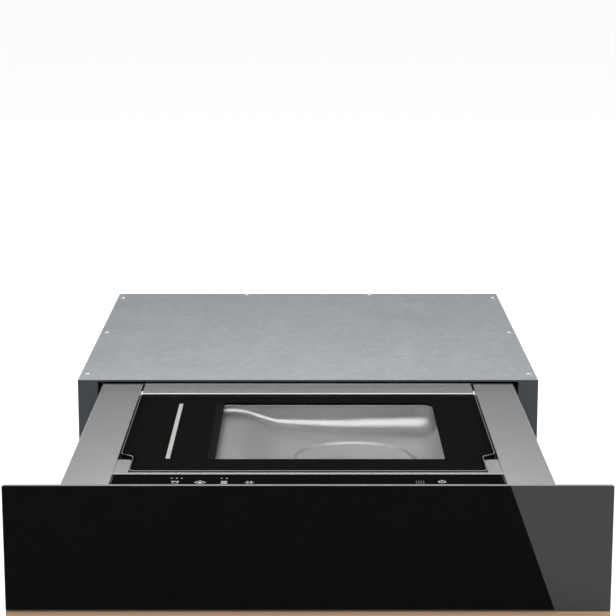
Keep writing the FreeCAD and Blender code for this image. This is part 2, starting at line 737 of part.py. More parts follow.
# Hinge bearings outside the recess walls
bearing = box(wall_out, wall_out + bearing_thick, hinge_y - bearing_size / 2, hinge_y + bearing_size / 2,
              hinge_level - bearing_size / 2, deck_top - deck_sheet)
bearing = bearing.cut(rod(pin_radius + pin_play, (wall_out - 1, hinge_y, hinge_level),
                          (wall_out + bearing_thick + 1, hinge_y, hinge_level)))
parts["hinge_bearing_right"] = bearing
parts["hinge_bearing_left"] = other_side(bearing)

# Sealing bar, its heating strip, and the pistons and cylinders that lift it
b0, b1 = bar_width / 2, bar_top_width / 2
bar_low = bar_top - bar_height
bar = along_y([(bar_x - b0, bar_low), (bar_x - b0, bar_top - 4), (bar_x - b1, bar_top), (bar_x + b1, bar_top),
               (bar_x + b0, bar_top - 4), (bar_x + b0, bar_low)], bar_y[0], bar_y[1])
parts["sealing_bar"] = bar
parts["heating_strip"] = box(bar_x - strip_width / 2, bar_x + strip_width / 2, bar_y[0] + 4, bar_y[1] - 4,
                             bar_top, strip_top)
cylinder_top = well_level - chamber_sheet
cylinder_low = cylinder_top - cylinder_length
for name, y in zip(("front", "rear"), piston_y):
    parts["lift_piston_" + name] = rod(piston_radius, (bar_x, y, bar_low - piston_length), (bar_x, y, bar_low))
    cylinder = box(bar_x - cylinder_half, bar_x + cylinder_half, y - cylinder_half, y + cylinder_half,
                   cylinder_low, cylinder_top)
    cylinder = cylinder.fuse(box(bar_x - cylinder_half, bar_x + cylinder_half, y - cylinder_half - 5,
                                 y + cylinder_half + 5, cylinder_top - 3, cylinder_top))
    bore_low = bar_low - piston_length - 2
    cylinder = cylinder.cut(rod(piston_radius + latch_play, (bar_x, y, bore_low), (bar_x, y, cylinder_top + 1)))
    parts["lift_cylinder_" + name] = cylinder.removeSplitter()

# Suction port through the shelf, down to the valve block
port_top = shelf_level + port_flange_thick
port = flat_sided(16, port_radius, (port_x, port_y, block_top), (port_x, port_y, shelf_level))
port = port.fuse(flat_sided(24, port_flange, (port_x, port_y, shelf_level), (port_x, port_y, port_top)))
port = port.cut(rod(port_bore, (port_x, port_y, block_top - 1), (port_x, port_y, port_top + 1)))
parts["suction_port"] = port.removeSplitter()

# Valve block with two solenoids and a barb for the pump hose
block_x = (port_x - block_width / 2, port_x + block_width / 2)
block_y = (port_y - block_width / 2, port_y + block_width / 2)
block = box(block_x[0], block_x[1], block_y[0], block_y[1], tray_inside, block_top)
for side in (-1, 1):
    x = port_x + side * 12
    block = block.fuse(flat_sided(12, solenoid_radius, (x, block_y[0] - solenoid_length, 34), (x, block_y[0], 34)))
block = block.fuse(rod(hose_bore, (block_x[1], port_y, hose_level), (block_x[1] + barb_length, port_y, hose_level)))
block = block.cut(rod(port_bore, (port_x, port_y, hose_level), (port_x, port_y, block_top + 1)))
block = block.cut(rod(hose_bore - 1.5, (port_x, port_y, hose_level),
                      (block_x[1] + barb_length + 1, port_y, hose_level)))
parts["valve_block"] = block.removeSplitter()

# Pump hose, straight between the two barbs
hose = rod(hose_radius, (block_x[1], port_y, hose_level), (pump_x, port_y, hose_level))
hose = hose.cut(rod(hose_bore, (block_x[1] - 1, port_y, hose_level), (pump_x + 1, port_y, hose_level)))
parts["pump_hose"] = hose

# Vacuum pump: finned head on a foot plate, motor behind it, four rubber mounts, exhaust filter
foot_low = tray_inside + mount_height
foot_top = foot_low + 2.5
head_x = (pump_x, pump_x + pump_head_length)
head_y = (port_y - pump_head_width / 2, port_y + pump_head_width / 2)
head = box(head_x[0], head_x[1], head_y[0], head_y[1], foot_low, foot_low + pump_height)
fin_pitch = pump_head_length / pump_fins
for i in range(pump_fins - 1):
    x = head_x[0] + (i + 1) * fin_pitch
    head = head.cut(box(x - 2, x + 2, head_y[0] - 1, head_y[1] + 1, foot_low + pump_height - 10,
                        foot_low + pump_height + 1))
motor_x = (head_x[1], head_x[1] + motor_length)
foot = box(head_x[0], motor_x[1] - 10, head_y[0] - 12, head_y[1] + 12, foot_low, foot_top)
barb = rod(hose_bore, (pump_x - barb_length, port_y, hose_level), (pump_x, port_y, hose_level))
barb = barb.cut(rod(hose_bore - 1.5, (pump_x - barb_length - 1, port_y, hose_level),
                    (pump_x, port_y, hose_level)))
parts["pump_head"] = join(head, foot, barb)
motor_level = foot_top + motor_radius
motor = flat_sided(20, motor_radius, (motor_x[0], port_y, motor_level), (motor_x[1], port_y, motor_level))
motor = motor.fuse(flat_sided(12, motor_radius / 3, (motor_x[1], port_y, motor_level), (motor_x[1] + 6, port_y, motor_level)))
parts["pump_motor"] = motor.removeSplitter()
mounts = []
for x in (head_x[0] + 12, motor_x[1] - 24):
    for y in (head_y[0] - 2, head_y[1] + 2):
        mounts.append(flat_sided(8, mount_radius, (x, y, tray_inside), (x, y, foot_low)))
parts["pump_mounts"] = Part.makeCompound(mounts)
filter_x = head_x[0] + pump_head_length / 2
muffler = flat_sided(12, filter_radius, (filter_x, head_y[0] - filter_length, hose_level), (filter_x, head_y[0] - 6, hose_level))
muffler = muffler.fuse(flat_sided(8, hose_radius, (filter_x, head_y[0] - 6, hose_level), (filter_x, head_y[0], hose_level)))
parts["exhaust_filter"] = muffler.removeSplitter()

# Toroidal transformer for the sealing bar, on a dished washer
toroid_y = face + toroid_back
toroid_top = tray_inside + toroid_height
toroid = flat_sided(20, toroid_radius, (toroid_x, toroid_y, tray_inside), (toroid_x, toroid_y, toroid_top))
toroid = toroid.makeChamfer(toroid_bevel, edges_at(toroid, tray_inside) + edges_at(toroid, toroid_top))
toroid = toroid.cut(flat_sided(12, toroid_hole, (toroid_x, toroid_y, tray_floor), (toroid_x, toroid_y, deck_level)))
stud = flat_sided(8, 3, (toroid_x, toroid_y, tray_inside), (toroid_x, toroid_y, toroid_top + 6))
washer = flat_sided(20, 2 * toroid_hole, (toroid_x, toroid_y, toroid_top), (toroid_x, toroid_y, toroid_top + 2))
parts["transformer"] = toroid
parts["transformer_clamp"] = join(stud, washer)

# Power board on four standoffs, with heat sink, capacitor and relay
power_y = face + power_back
px = (power_x - power_width / 2, power_x + power_width / 2)
py = (power_y - power_length / 2, power_y + power_length / 2)
board_z = tray_inside + standoff
power = box(px[0], px[1], py[0], py[1], board_z, board_z + board_thick)
power = power.fuse([flat_sided(6, 3, (x, y, tray_inside), (x, y, board_z))
                    for x in (px[0] + 5, px[1] - 5) for y in (py[0] + 5, py[1] - 5)])
top = board_z + board_thick
capacitor_x = px[0] + 2.5 * capacitor_radius
power = power.fuse(flat_sided(12, capacitor_radius, (capacitor_x, power_y, top),
                              (capacitor_x, power_y, top + capacitor_height)))
relay_x = power_x - relay_size / 2
power = power.fuse(box(relay_x, relay_x + relay_size, power_y - relay_size / 2, power_y + relay_size / 2,
                       top, top + relay_height))
sink_x = px[1] - 40
sink_y = (power_y - sink_length / 2, power_y + sink_length / 2)
power = power.fuse([box(sink_x + sink_pitch * i, sink_x + sink_pitch * i + 3, sink_y[0], sink_y[1],
                        top, top + sink_height) for i in range(sink_fins)])
power = power.fuse(box(sink_x, sink_x + sink_pitch * (sink_fins - 1) + 3, sink_y[0], sink_y[1], top, top + 4))
parts["power_board"] = power.removeSplitter()

# Lid switch: housing under the deck, stem through it up to the lid
stem_top = lid_under - seal_gap
housing_low = floor_low - switch_size - 4
switch = box(switch_x - switch_size / 2, switch_x + switch_size / 2, switch_y - switch_size,
             switch_y + switch_size, housing_low, floor_low)
stem_low = floor_low - 8
switch = switch.cut(rod(switch_stem + latch_play, (switch_x, switch_y, stem_low - switch_travel - 0.5),
                        (switch_x, switch_y, floor_low + 1)))
parts["lid_switch"] = switch
stem = rod(switch_stem, (switch_x, switch_y, stem_low), (switch_x, switch_y, stem_top))
parts["lid_switch_stem"] = stem

# Push latch at the back of the case, with the plunger that kicks the drawer out
latch_y = case_back - case_sheet - latch_length
closed_back = tray_back + drawer_travel
latch = box(-latch_width / 2, latch_width / 2, latch_y, case_back - case_sheet,
            slide_centre - latch_height / 2, slide_centre + latch_height / 2)
latch = latch.cut(rod(latch_plunger_radius + latch_play, (0, latch_y - 1, slide_centre),
                      (0, case_back - case_sheet - 1, slide_centre)))
parts["latch_housing"] = latch
parts["latch_plunger"] = rod(latch_plunger_radius, (0, closed_back + fit_gap, slide_centre),
                             (0, case_back - case_sheet - latch_reach, slide_centre))

os.makedirs("parts", exist_ok=True)
for name, shape in parts.items():
    shape.exportStep(f"parts/{name}.step")
print(len(parts), "pieces,", "front face at", face, "closed tray back at", closed_back)
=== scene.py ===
import json
from math import cos, pi, radians, sin

import bmesh
import bpy
from mathutils import Matrix, Vector

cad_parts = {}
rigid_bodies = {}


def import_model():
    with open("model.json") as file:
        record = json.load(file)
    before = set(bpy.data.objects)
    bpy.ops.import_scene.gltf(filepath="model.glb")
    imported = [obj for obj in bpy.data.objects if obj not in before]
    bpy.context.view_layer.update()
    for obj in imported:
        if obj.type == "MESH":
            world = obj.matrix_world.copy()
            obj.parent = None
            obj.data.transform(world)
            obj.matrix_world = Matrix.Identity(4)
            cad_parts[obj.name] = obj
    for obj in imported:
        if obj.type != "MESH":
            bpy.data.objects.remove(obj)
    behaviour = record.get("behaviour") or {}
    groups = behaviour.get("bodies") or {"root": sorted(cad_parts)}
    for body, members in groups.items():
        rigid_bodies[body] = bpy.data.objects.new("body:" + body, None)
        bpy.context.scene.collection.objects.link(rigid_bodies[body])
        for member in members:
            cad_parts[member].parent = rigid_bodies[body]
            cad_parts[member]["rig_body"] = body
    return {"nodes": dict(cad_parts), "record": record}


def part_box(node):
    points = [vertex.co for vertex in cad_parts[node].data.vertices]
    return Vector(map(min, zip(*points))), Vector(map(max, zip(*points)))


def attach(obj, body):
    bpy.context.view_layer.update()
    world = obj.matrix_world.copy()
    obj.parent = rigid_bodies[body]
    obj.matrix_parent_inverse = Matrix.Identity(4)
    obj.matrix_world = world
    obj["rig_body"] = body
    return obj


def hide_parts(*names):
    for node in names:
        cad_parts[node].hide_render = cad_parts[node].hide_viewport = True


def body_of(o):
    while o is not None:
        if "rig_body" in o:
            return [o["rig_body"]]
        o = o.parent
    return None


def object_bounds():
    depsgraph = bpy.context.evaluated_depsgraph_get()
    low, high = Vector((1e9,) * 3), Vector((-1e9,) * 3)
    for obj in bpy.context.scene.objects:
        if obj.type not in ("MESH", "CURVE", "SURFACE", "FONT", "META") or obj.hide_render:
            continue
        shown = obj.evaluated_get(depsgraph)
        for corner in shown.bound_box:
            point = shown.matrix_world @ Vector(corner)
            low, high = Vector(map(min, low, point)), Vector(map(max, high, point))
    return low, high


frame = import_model()
cad_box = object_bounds()
nodes = frame["nodes"]
mm = 0.001

# Camera: a long lens 1.8 m in front of the drawer's glass and 0.56 m over its deck.
# It looks down on the deck by its tilt alone, with no shift.
lens, camera_out, camera_up, camera_tilt = 111.2, 1.7758, 0.5588, 78.14
front_low, front_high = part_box("front_glass")
deck_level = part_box("side_strip_right")[1].z
camera = bpy.data.objects.new("camera", bpy.data.cameras.new("camera"))
camera.data.sensor_width = 36
camera.data.lens = lens
camera.location = (0, front_low.y - camera_out, deck_level + camera_up)
camera.rotation_euler = (radians(camera_tilt), 0, 0)
bpy.context.scene.collection.objects.link(camera)
bpy.context.scene.camera = camera
bpy.context.scene.view_settings.view_transform = "Standard"


# Floor: a sheet of white studio paper that the drawer stands on, matt and without grain.
# It shows white to the eye and in reflections, and still takes the drawer's soft shadow.
def linear(colour):
    """A linear colour from an sRGB hex value."""
    values = [int(colour[i:i + 2], 16) / 255 for i in (1, 3, 5)]
    return [v / 12.92 if v <= 0.04045 else ((v + 0.055) / 1.055) ** 2.4 for v in values] + [1.0]


def blank(name):
    """A material with an empty node tree."""
    made = bpy.data.materials.new(name)
    made.use_nodes = True
    made.node_tree.nodes.clear()
    return made


def add(owner, kind, inputs={}, **settings):
    """One shader node with its settings, its sockets set to values or linked to other nodes."""
    node = owner.node_tree.nodes.new(kind)
    for name, value in settings.items():
        setattr(node, name, value)
    for name, value in inputs.items():
        if isinstance(value, bpy.types.NodeSocket):
            owner.node_tree.links.new(value, node.inputs[name])
        else:
            node.inputs[name].default_value = value
    return node


def any_ray(owner, *kinds):
    """1 for rays of these kinds, and 0 for the rest."""
    path = add(owner, "ShaderNodeLightPath")
    found = path.outputs[f"Is {kinds[0]} Ray"]
    for kind in kinds[1:]:
        either = add(owner, "ShaderNodeMath", {0: found, 1: path.outputs[f"Is {kind} Ray"]}, operation="MAXIMUM")
        found = either.outputs[0]
    return found


def studio_sheet(name, place, size, turn, finish):
    """A flat sheet of the studio with its two sizes, turned about X by some degrees."""
    shape = bmesh.new()
    bmesh.ops.create_grid(shape, x_segments=1, y_segments=1, size=0.5,
                          matrix=Matrix.Translation(place) @ Matrix.Rotation(radians(turn), 4, "X")
                          @ Matrix.Diagonal((*size, 1, 1)))
    mesh = bpy.data.meshes.new(name)
    shape.to_mesh(mesh)
    shape.free()
    mesh.materials.append(finish)
    made = bpy.data.objects.new(name, mesh)
    bpy.context.scene.collection.objects.link(made)
    return made


paper_glow, paper_size = 0.62, 60
paper = blank("white_studio_paper")
seen = any_ray(paper, "Camera", "Glossy", "Transmission")
glow = add(paper, "ShaderNodeMath", {0: seen, 1: paper_glow}, operation="MULTIPLY")
matt = add(paper, "ShaderNodeBsdfDiffuse", {"Color": linear("#F0F0F0")})
shine = add(paper, "ShaderNodeEmission", {"Strength": glow.outputs[0]})
both = add(paper, "ShaderNodeAddShader", {0: matt.outputs[0], 1: shine.outputs[0]})
add(paper, "ShaderNodeOutputMaterial", {"Surface": both.outputs[0]})
floor = studio_sheet("floor", (0, 0, cad_box[0].z), (paper_size, paper_size), 0, paper)

# Studio: a white surround, a soft lamp overhead, one low behind the drawer and a fill from the front.
# Black cards and lit panels show in reflections and through the lid's glass, and never to the eye.
# They give the glass and the steel their dark and light.
world_dim, world_white = 0.5, 1.0
world = bpy.data.worlds.new("studio")
world.use_nodes = True
world.node_tree.nodes.clear()
bpy.context.scene.world = world
level = add(world, "ShaderNodeMapRange", {
    "Value": any_ray(world, "Camera", "Glossy", "Transmission"), "To Min": world_dim, "To Max": world_white})
surround = add(world, "ShaderNodeBackground", {"Strength": level.outputs[0]})
add(world, "ShaderNodeOutputWorld", {"Surface": surround.outputs[0]})

lamp_aim = Vector((0, -0.3, 0.1))
lamps = (("overhead", (0, -0.4, 2.2), 2.2, 24.0),  # name, place and size in m, power in W
         ("rear_softbox", (0, 1.1, 1.4), 1.2, 7.0),
         ("front_fill", (-0.6, -3.2, 1.6), 1.4, 12.0))
for lamp_name, place, size, watts in lamps:
    lamp = bpy.data.objects.new(lamp_name, bpy.data.lights.new(lamp_name, "AREA"))
    lamp.data.size = size
    lamp.data.energy = watts
    lamp.location = place
    lamp.rotation_euler = (lamp_aim - Vector(place)).to_track_quat("-Z", "Y").to_euler()
    lamp.visible_glossy = lamp_name != "front_fill"
    bpy.context.scene.collection.objects.link(lamp)

velvet = blank("black_velvet_card")
soot = add(velvet, "ShaderNodeBsdfDiffuse", {"Color": linear("#0A0A0A")})
add(velvet, "ShaderNodeOutputMaterial", {"Surface": soot.outputs[0]})
panel_light, window_light = blank("lit_white_panel"), blank("lit_panel_over_the_lid")
for lit, strength in ((panel_light, 1.4), (window_light, 4.4)):
    emission = add(lit, "ShaderNodeEmission", {"Strength": strength})
    add(lit, "ShaderNodeOutputMaterial", {"Surface": emission.outputs[0]})
cards = (("floor_card", (-0.6773, front_low.y - 0.483, cad_box[0].z + mm), (1.8455, 0.934), 0, velvet),
         ("rear_card", (0, 6.0, 2.3), (3.4, 2.6), 90, velvet),
         ("front_card", (0, -4.0, 2.45), (3.2, 4.3), 90, velvet),
         ("overhead_panel", (0, -1.4, 2.1), (5.6, 4.6), 0, panel_light),
         ("window_panel", (0, -2.3, 2.06), (5.6, 2.8), 0, window_light))
for card_name, place, size, turn, finish in cards:
    flag = studio_sheet(card_name, place, size, turn, finish)
    flag.visible_camera = flag.visible_diffuse = flag.visible_shadow = False
    flag.visible_glossy = card_name != "window_panel"
    flag.visible_transmission = card_name != "floor_card"

# Case: two sheets of zinc-coated steel, folded and screwed together, that stay in the cabinet.
# Zinc is pale and silky with faint crystals; the folded edges are soft and slightly rounded.
slots = {row["node"]: row["material_slot"] for row in frame["record"]["subparts"]}
same_point, sharp, barely_bent, smooth_to = 0.001 * mm, radians(40), radians(1), radians(32)


def soften(shape, radius, segments, chosen):
    """Rounds the chosen edges of a shape."""
    bmesh.ops.bevel(shape, geom=[e for e in shape.edges if chosen(e)], offset=radius, offset_type="OFFSET",
                    segments=segments, profile=0.5, affect="EDGES", material=-1)


def piece(name, shape, materials, body, slot, *stands_for):
    """Makes a finished mesh that rides a body and stands for its CAD nodes, smooth but for its sharp edges."""
    for face in shape.faces:
        face.smooth = True
    for edge in shape.edges:
        edge.smooth = edge.is_manifold and edge.calc_face_angle(0) < smooth_to
    mesh = bpy.data.meshes.new(name)
    shape.to_mesh(mesh)
    shape.free()
    for material in materials:
        mesh.materials.append(material)
    made = bpy.data.objects.new(name, mesh)
    bpy.context.scene.collection.objects.link(made)
    made.modifiers.new("flat_faces_lead", "WEIGHTED_NORMAL").keep_sharp = True
    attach(made, body)
    if stands_for:
        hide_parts(*stands_for)


def eased(node, materials, radius, segments=2, finish_of=None):
    """Makes a CAD node's own form with its sharp edges rounded, which stands for the node."""
    shape = bmesh.new()
    shape.from_mesh(nodes[node].data)
    bmesh.ops.remove_doubles(shape, verts=shape.verts[:], dist=same_point)
    bmesh.ops.dissolve_limit(shape, angle_limit=barely_bent, verts=shape.verts[:], edges=shape.edges[:])
    soften(shape, radius, segments, lambda e: e.is_manifold and e.calc_face_angle(0) > sharp)
    for face in shape.faces:
        face.material_index = finish_of(face) if finish_of else 0
    piece(f"{node}_finished", shape, materials, body_of(nodes[node])[0], slots[node], node)


def patterned(owner, kind, scale, inputs={}, **settings):
    """A pattern in the object's own coordinates."""
    place = add(owner, "ShaderNodeTexCoord")
    return add(owner, f"ShaderNodeTex{kind}", {"Vector": place.outputs["Object"], "Scale": scale, **inputs},
               **settings)


def toned(owner, pattern, dark, light):
    """A colour that a pattern takes from one sRGB value to another."""
    mix = add(owner, "ShaderNodeMix", {"Factor": pattern, 6: linear(dark), 7: linear(light)}, data_type="RGBA")
    return mix.outputs[2]


def ranged(owner, pattern, low, high, inputs={}):
    """A value that a pattern takes from low to high."""
    return add(owner, "ShaderNodeMapRange", {"Value": pattern, "To Min": low, "To Max": high, **inputs}).outputs[0]


def surfaced(owner, colour, roughness, **more):
    """Gives a material one principled surface."""
    shader = add(owner, "ShaderNodeBsdfPrincipled", {"Base Color": colour, "Roughness": roughness, **more})
    add(owner, "ShaderNodeOutputMaterial", {"Surface": shader.outputs[0]})


zinc = blank("zinc_coated_steel")
crystals = patterned(zinc, "Voronoi", 110.0).outputs["Color"]
cloud = patterned(zinc, "Noise", 14.0, {"Detail": 4.0}).outputs[0]
surfaced(zinc, toned(zinc, crystals, "#A8ACAF", "#B6BABD"), ranged(zinc, cloud, 0.36, 0.42), Metallic=1.0)
for node in ("case_shell", "case_cover"):
    eased(node, [zinc], 0.3 * mm)

# Cover screws: pan heads with a round socket, in two rows along the cover's folded edges.
# They are bright zinc-plated steel, shinier than the sheet under them.
plated = blank("bright_zinc_plated_steel")
haze = patterned(plated, "Noise", 220.0, {"Detail": 3.0}).outputs[0]
surfaced(plated, linear("#C9CCCE"), ranged(plated, haze, 0.16, 0.3), Metallic=1.0)


def turned(profile, place, steps=48):
    """A form turned about Z from its profile of (radius, height) points in mm, then placed."""
    shape = bmesh.new()
    line = [shape.verts.new((radius * mm, 0, height * mm)) for radius, height in profile]
    for start, end in zip(line, line[1:]):
        shape.edges.new((start, end))
    bmesh.ops.spin(shape, geom=shape.verts[:] + shape.edges[:], cent=(0, 0, 0), axis=(0, 0, 1),
                   angle=2 * pi, steps=steps, use_merge=True)
    bmesh.ops.remove_doubles(shape, verts=shape.verts[:], dist=same_point)
    bmesh.ops.recalc_face_normals(shape, faces=shape.faces[:])
    bmesh.ops.transform(shape, matrix=place, verts=shape.verts[:])
    return shape


def at(x, y, z, turn=0, axis="X"):
    """A place in mm, with a turn in degrees about one axis."""
    return Matrix.Translation((x * mm, y * mm, z * mm)) @ Matrix.Rotation(radians(turn), 4, axis)


def merged(shapes):
    """Several shapes made one; a shape may come with the number of its finish."""
    whole = bmesh.new()
    carrier = bpy.data.meshes.new("carrier")
    for part in shapes:
        part, finish = part if isinstance(part, tuple) else (part, 0)
        for face in part.faces:
            face.material_index = finish
        part.to_mesh(carrier)
        part.free()
        whole.from_mesh(carrier)
    bpy.data.meshes.remove(carrier)
    return whole


pan_head = [(0, 0.4), (1.2, 0.4), (1.3, 1.3), (2.2, 1.3), (3.1, 0.9), (3.6, 0.3), (3.6, -0.2), (0, -0.2)]
cover_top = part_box("case_cover")[1].z / mm
screw_places = ((269, -230), (269, 0), (269, 230), (90, 256))
sides = (-1, 1)
heads = [turned(pan_head, at(side * x, y, cover_top), 24) for side in sides for x, y in screw_places]
piece("cover_screws", merged(heads), [plated], "case", "bearing_steel")

# Front frame: a flat steel surround with its edges folded back, screwed behind the drawer's front.
# It is powder-coated dark grey, matt with a fine sandy grain.
powder = blank("dark_powder_coat")


def bumped(owner, pattern, strength, depth):
    """The normal of a surface that a pattern raises."""
    return add(owner, "ShaderNodeBump", {"Height": pattern, "Strength": strength, "Distance": depth}).outputs[0]


sand = patterned(powder, "Noise", 1600.0).outputs[0]
surfaced(powder, linear("#3F4346"), 0.55, Normal=bumped(powder, sand, 0.35, 0.1 * mm))
eased("front_frame", [powder], 0.4 * mm)

# Mains inlet: a moulded socket in the back wall with three flat pins.
# The housing is glass-filled nylon with a fine spark-eroded grain; the pins are bright plated brass.


def moulded(name, colour, roughness):
    """Moulded plastic with a fine grain."""
    made = blank(name)
    grain = patterned(made, "Noise", 900.0).outputs[0]
    surfaced(made, linear(colour), roughness, Normal=bumped(made, grain, 0.3, 0.1 * mm))
    return made


black_plastic = moulded("black_glass_filled_nylon", "#1D1E1F", 0.5)
inlet_low, inlet_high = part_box("mains_inlet")
inlet_middle = (inlet_low + inlet_high) / 2
pins_half_wide, pins_half_high, pins_back = 10 * mm, 6 * mm, -5.9 * mm


def pin_or_housing(face):
    """The finish of a face of the mains inlet: 1 on its pins, 0 on its housing."""
    middle = face.calc_center_median() - inlet_middle
    return int(abs(middle.x) < pins_half_wide and abs(middle.z) < pins_half_high and middle.y > pins_back)


eased("mains_inlet", [black_plastic, plated], 0.25 * mm, 2, pin_or_housing)

# Slides: three rolled members a side run in each other, on a folded spacer screwed to the case.
# They are zinc-plated steel strip, bright, with a thin grease haze.
for node in nodes:
    if node.startswith("slide_"):
        eased(node, [plated], 0.35 * mm)

# Ball cages: two rows of steel balls a side in a thin strip, between the slides' members.
# The balls are ground and lapped, so they shine like mirrors.
ball_steel = blank("lapped_bearing_steel")
film = patterned(ball_steel, "Noise", 400.0).outputs[0]
surfaced(ball_steel, linear("#C6C6C4"), ranged(ball_steel, film, 0.05, 0.12), Metallic=1.0)


def block(low, high, edge=0.0, segments=2):
    """A block between two corners, with its edges rounded."""
    shape = bmesh.new()
    bmesh.ops.create_cube(shape, size=1.0)
    bmesh.ops.scale(shape, vec=Vector(high) - Vector(low), verts=shape.verts)
    bmesh.ops.translate(shape, vec=(Vector(low) + Vector(high)) / 2, verts=shape.verts)
    if edge:
        soften(shape, edge, segments, lambda e: True)
    return shape


def ball(radius, x, y, z):
    """A steel ball."""
    shape = bmesh.new()
    bmesh.ops.create_icosphere(shape, subdivisions=3, radius=radius, matrix=Matrix.Translation((x, y, z)))
    return shape


balls_a_row, slide_level, web_thick, strip_half, cage_edge = 10, 60 * mm, 0.6 * mm, 0.3 * mm, 0.2 * mm
strip_reach = 0.55  # how far over its balls a strip runs, in radii
for name, radius, row, ball_x, web_x in (("cage_outer", 2.3 * mm, 19.3 * mm, 243.4 * mm, 248.2 * mm),
                                         ("cage_inner", 1.7 * mm, 13.9 * mm, 241.2 * mm, 245.4 * mm)):
    for side, hand in ((-1, "left"), (1, "right")):
        low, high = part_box(f"{name}_{hand}")
        pitch = (high.y - low.y) / balls_a_row
        web = sorted((side * (web_x - web_thick), side * web_x))
        strip = sorted((side * (ball_x - radius * strip_reach), side * web_x))
        cage = [block((web[0], low.y, slide_level - row), (web[1], high.y, slide_level + row), cage_edge, 1)]
        for up in sides:
            level = slide_level + up * row
            cage.append(block((strip[0], low.y, level - strip_half), (strip[1], high.y, level + strip_half),
                              cage_edge, 1))
            cage += [(ball(radius, side * ball_x, low.y + (i + 0.5) * pitch, level), 1) for i in range(balls_a_row)]
        piece(f"{name}_{hand}_balls", merged(cage), [plated, ball_steel], f"{name}_{hand}", "bearing_steel",
              f"{name}_{hand}")

# Drawer tray: a folded open box of zinc-coated sheet that carries the plant and the deck.
# Its lip turns inwards, and slots in its floor let the warm air out.
eased("drawer_tray", [zinc], 0.35 * mm)

# Front carrier: a folded pan behind the glass, tied to the tray by two folded brackets with screws.
# It is the same zinc-coated sheet, hidden when the drawer is shut.
for node in ("front_carrier", "front_bracket_left", "front_bracket_right"):
    eased(node, [zinc], 0.35 * mm)
tray_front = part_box("drawer_tray")[0].y / mm
bracket_x, bracket_levels, bracket_sheet = 200, (22.8, 80.7), 2
bracket_screws = [turned(pan_head, at(side * bracket_x, tray_front - bracket_sheet, z, 90), 24)
                  for side in sides for z in bracket_levels]
piece("bracket_screws", merged(bracket_screws), [plated], "drawer", "bearing_steel")

# Rubber bumpers: four low domes pressed into the carrier, which meet the case's frame.
# Moulded rubber is near black and matt, a little grey where light grazes it.
rubber = blank("black_moulded_rubber")
bloom = patterned(rubber, "Noise", 320.0, {"Detail": 3.0}).outputs[0]
surfaced(rubber, toned(rubber, bloom, "#191919", "#262626"), 0.7)
bumper_low, bumper_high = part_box("front_bumpers")
bumper_radius = 4.8
dome = [(0, 0), (bumper_radius, 0), (bumper_radius, 0.3), (4.2, 0.7), (2.8, 0.95), (0, 1.0)]
bumpers = [turned(dome, at(side * (bumper_high.x / mm - bumper_radius), bumper_low.y / mm, z, -90), 32)
           for side in sides for z in (bumper_low.z / mm + bumper_radius, bumper_high.z / mm - bumper_radius)]
piece("rubber_bumpers", merged(bumpers), [rubber], "drawer", "rubber_black", "front_bumpers")

# Glass front: a pane of float glass, black on its back, held on the folded steel carrier.
# Its arrises are ground and catch the light as a thin bright line along the top.
glass_ior, square, flat = 1.52, radians(60), 0.99


def runs(edge, axis):
    """Whether an edge runs along one axis, 0 to 2."""
    line = edge.verts[1].co - edge.verts[0].co
    return abs(line[axis]) > 0.999 * line.length


black_glass = blank("back_painted_float_glass")
paint_film = patterned(black_glass, "Noise", 60.0).outputs[0]
surfaced(black_glass, toned(black_glass, paint_film, "#151515", "#171717"), 0.02, IOR=glass_ior)

glass_edge = blank("ground_glass_edge")
frost = patterned(glass_edge, "Noise", 900.0).outputs[0]
surfaced(glass_edge, linear("#959696"), 0.35, IOR=glass_ior, Normal=bumped(glass_edge, frost, 0.2, 0.2 * mm))


def pane(low, high, corner, arris, facing):
    """A glass pane with rounded corners and ground arrises: finish 0 is its faces, 1 its edges."""
    shape = block(low, high)
    soften(shape, corner, 4, lambda e: runs(e, facing))
    soften(shape, arris, 1, lambda e: e.calc_face_angle(0) > square)
    for face in shape.faces:
        face.material_index = 0 if abs(face.normal[facing]) > flat else 1
    return shape


piece("front_pane", pane(front_low, front_high, 2 * mm, 0.35 * mm, 1), [black_glass, glass_edge], "drawer",
      "black_glass", "front_glass")

# Foot strip: an anodised aluminium section under the glass, copper in colour.
# It is brushed along its length, so it has a soft sheen with fine lines.
copper = blank("copper_anodised_aluminium")


def brushed(owner, length, spacing, axis=0):
    """Brush lines along one axis, as a noise drawn out to that length and spacing, coarser than real lines."""
    place = add(owner, "ShaderNodeTexCoord")
    scale = [1 / spacing] * 3
    scale[axis] = 1 / length
    stretched = add(owner, "ShaderNodeMapping", {"Vector": place.outputs["Object"], "Scale": scale})
    noise = {"Vector": stretched.outputs[0], "Scale": 1.0, "Detail": 3.0, "Roughness": 0.6}
    return add(owner, "ShaderNodeTexNoise", noise).outputs[0]


lines = brushed(copper, 60 * mm, 0.5 * mm)
surfaced(copper, linear("#A88C72"), 0.38, Metallic=1.0, Normal=bumped(copper, lines, 0.25, 0.1 * mm))
eased("front_strip", [copper], 0.3 * mm)

# Steel of the deck: stainless sheet, brushed across the drawer, for side strips, pan and hinge rail.
# Fine lines run from side to side; they are drawn coarser than real ones, so that the picture holds them.
steel = blank("brushed_stainless_steel")
lines = brushed(steel, 120 * mm, 2.4 * mm)
surfaced(steel, toned(steel, lines, "#AEAEAE", "#D6D6D6"), 0.27, Metallic=1.0,
         Normal=bumped(steel, lines, 0.3, 0.2 * mm))
eased("deck_pan", [steel], 0.35 * mm)
for side in ("left", "right"):
    eased(f"side_strip_{side}", [steel], 0.4 * mm)

# Touch panel: black printed glass, level with the steel.
# The marks are white ceramic ink, drawn a hair above the glass: dots, plain signs and a dotted display.
panel_low, panel_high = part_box("panel_glass")
piece("touch_panel", pane(panel_low, panel_high, 1.5 * mm, 0.25 * mm, 2), [black_glass, glass_edge], "drawer",
      "black_glass", "panel_glass")

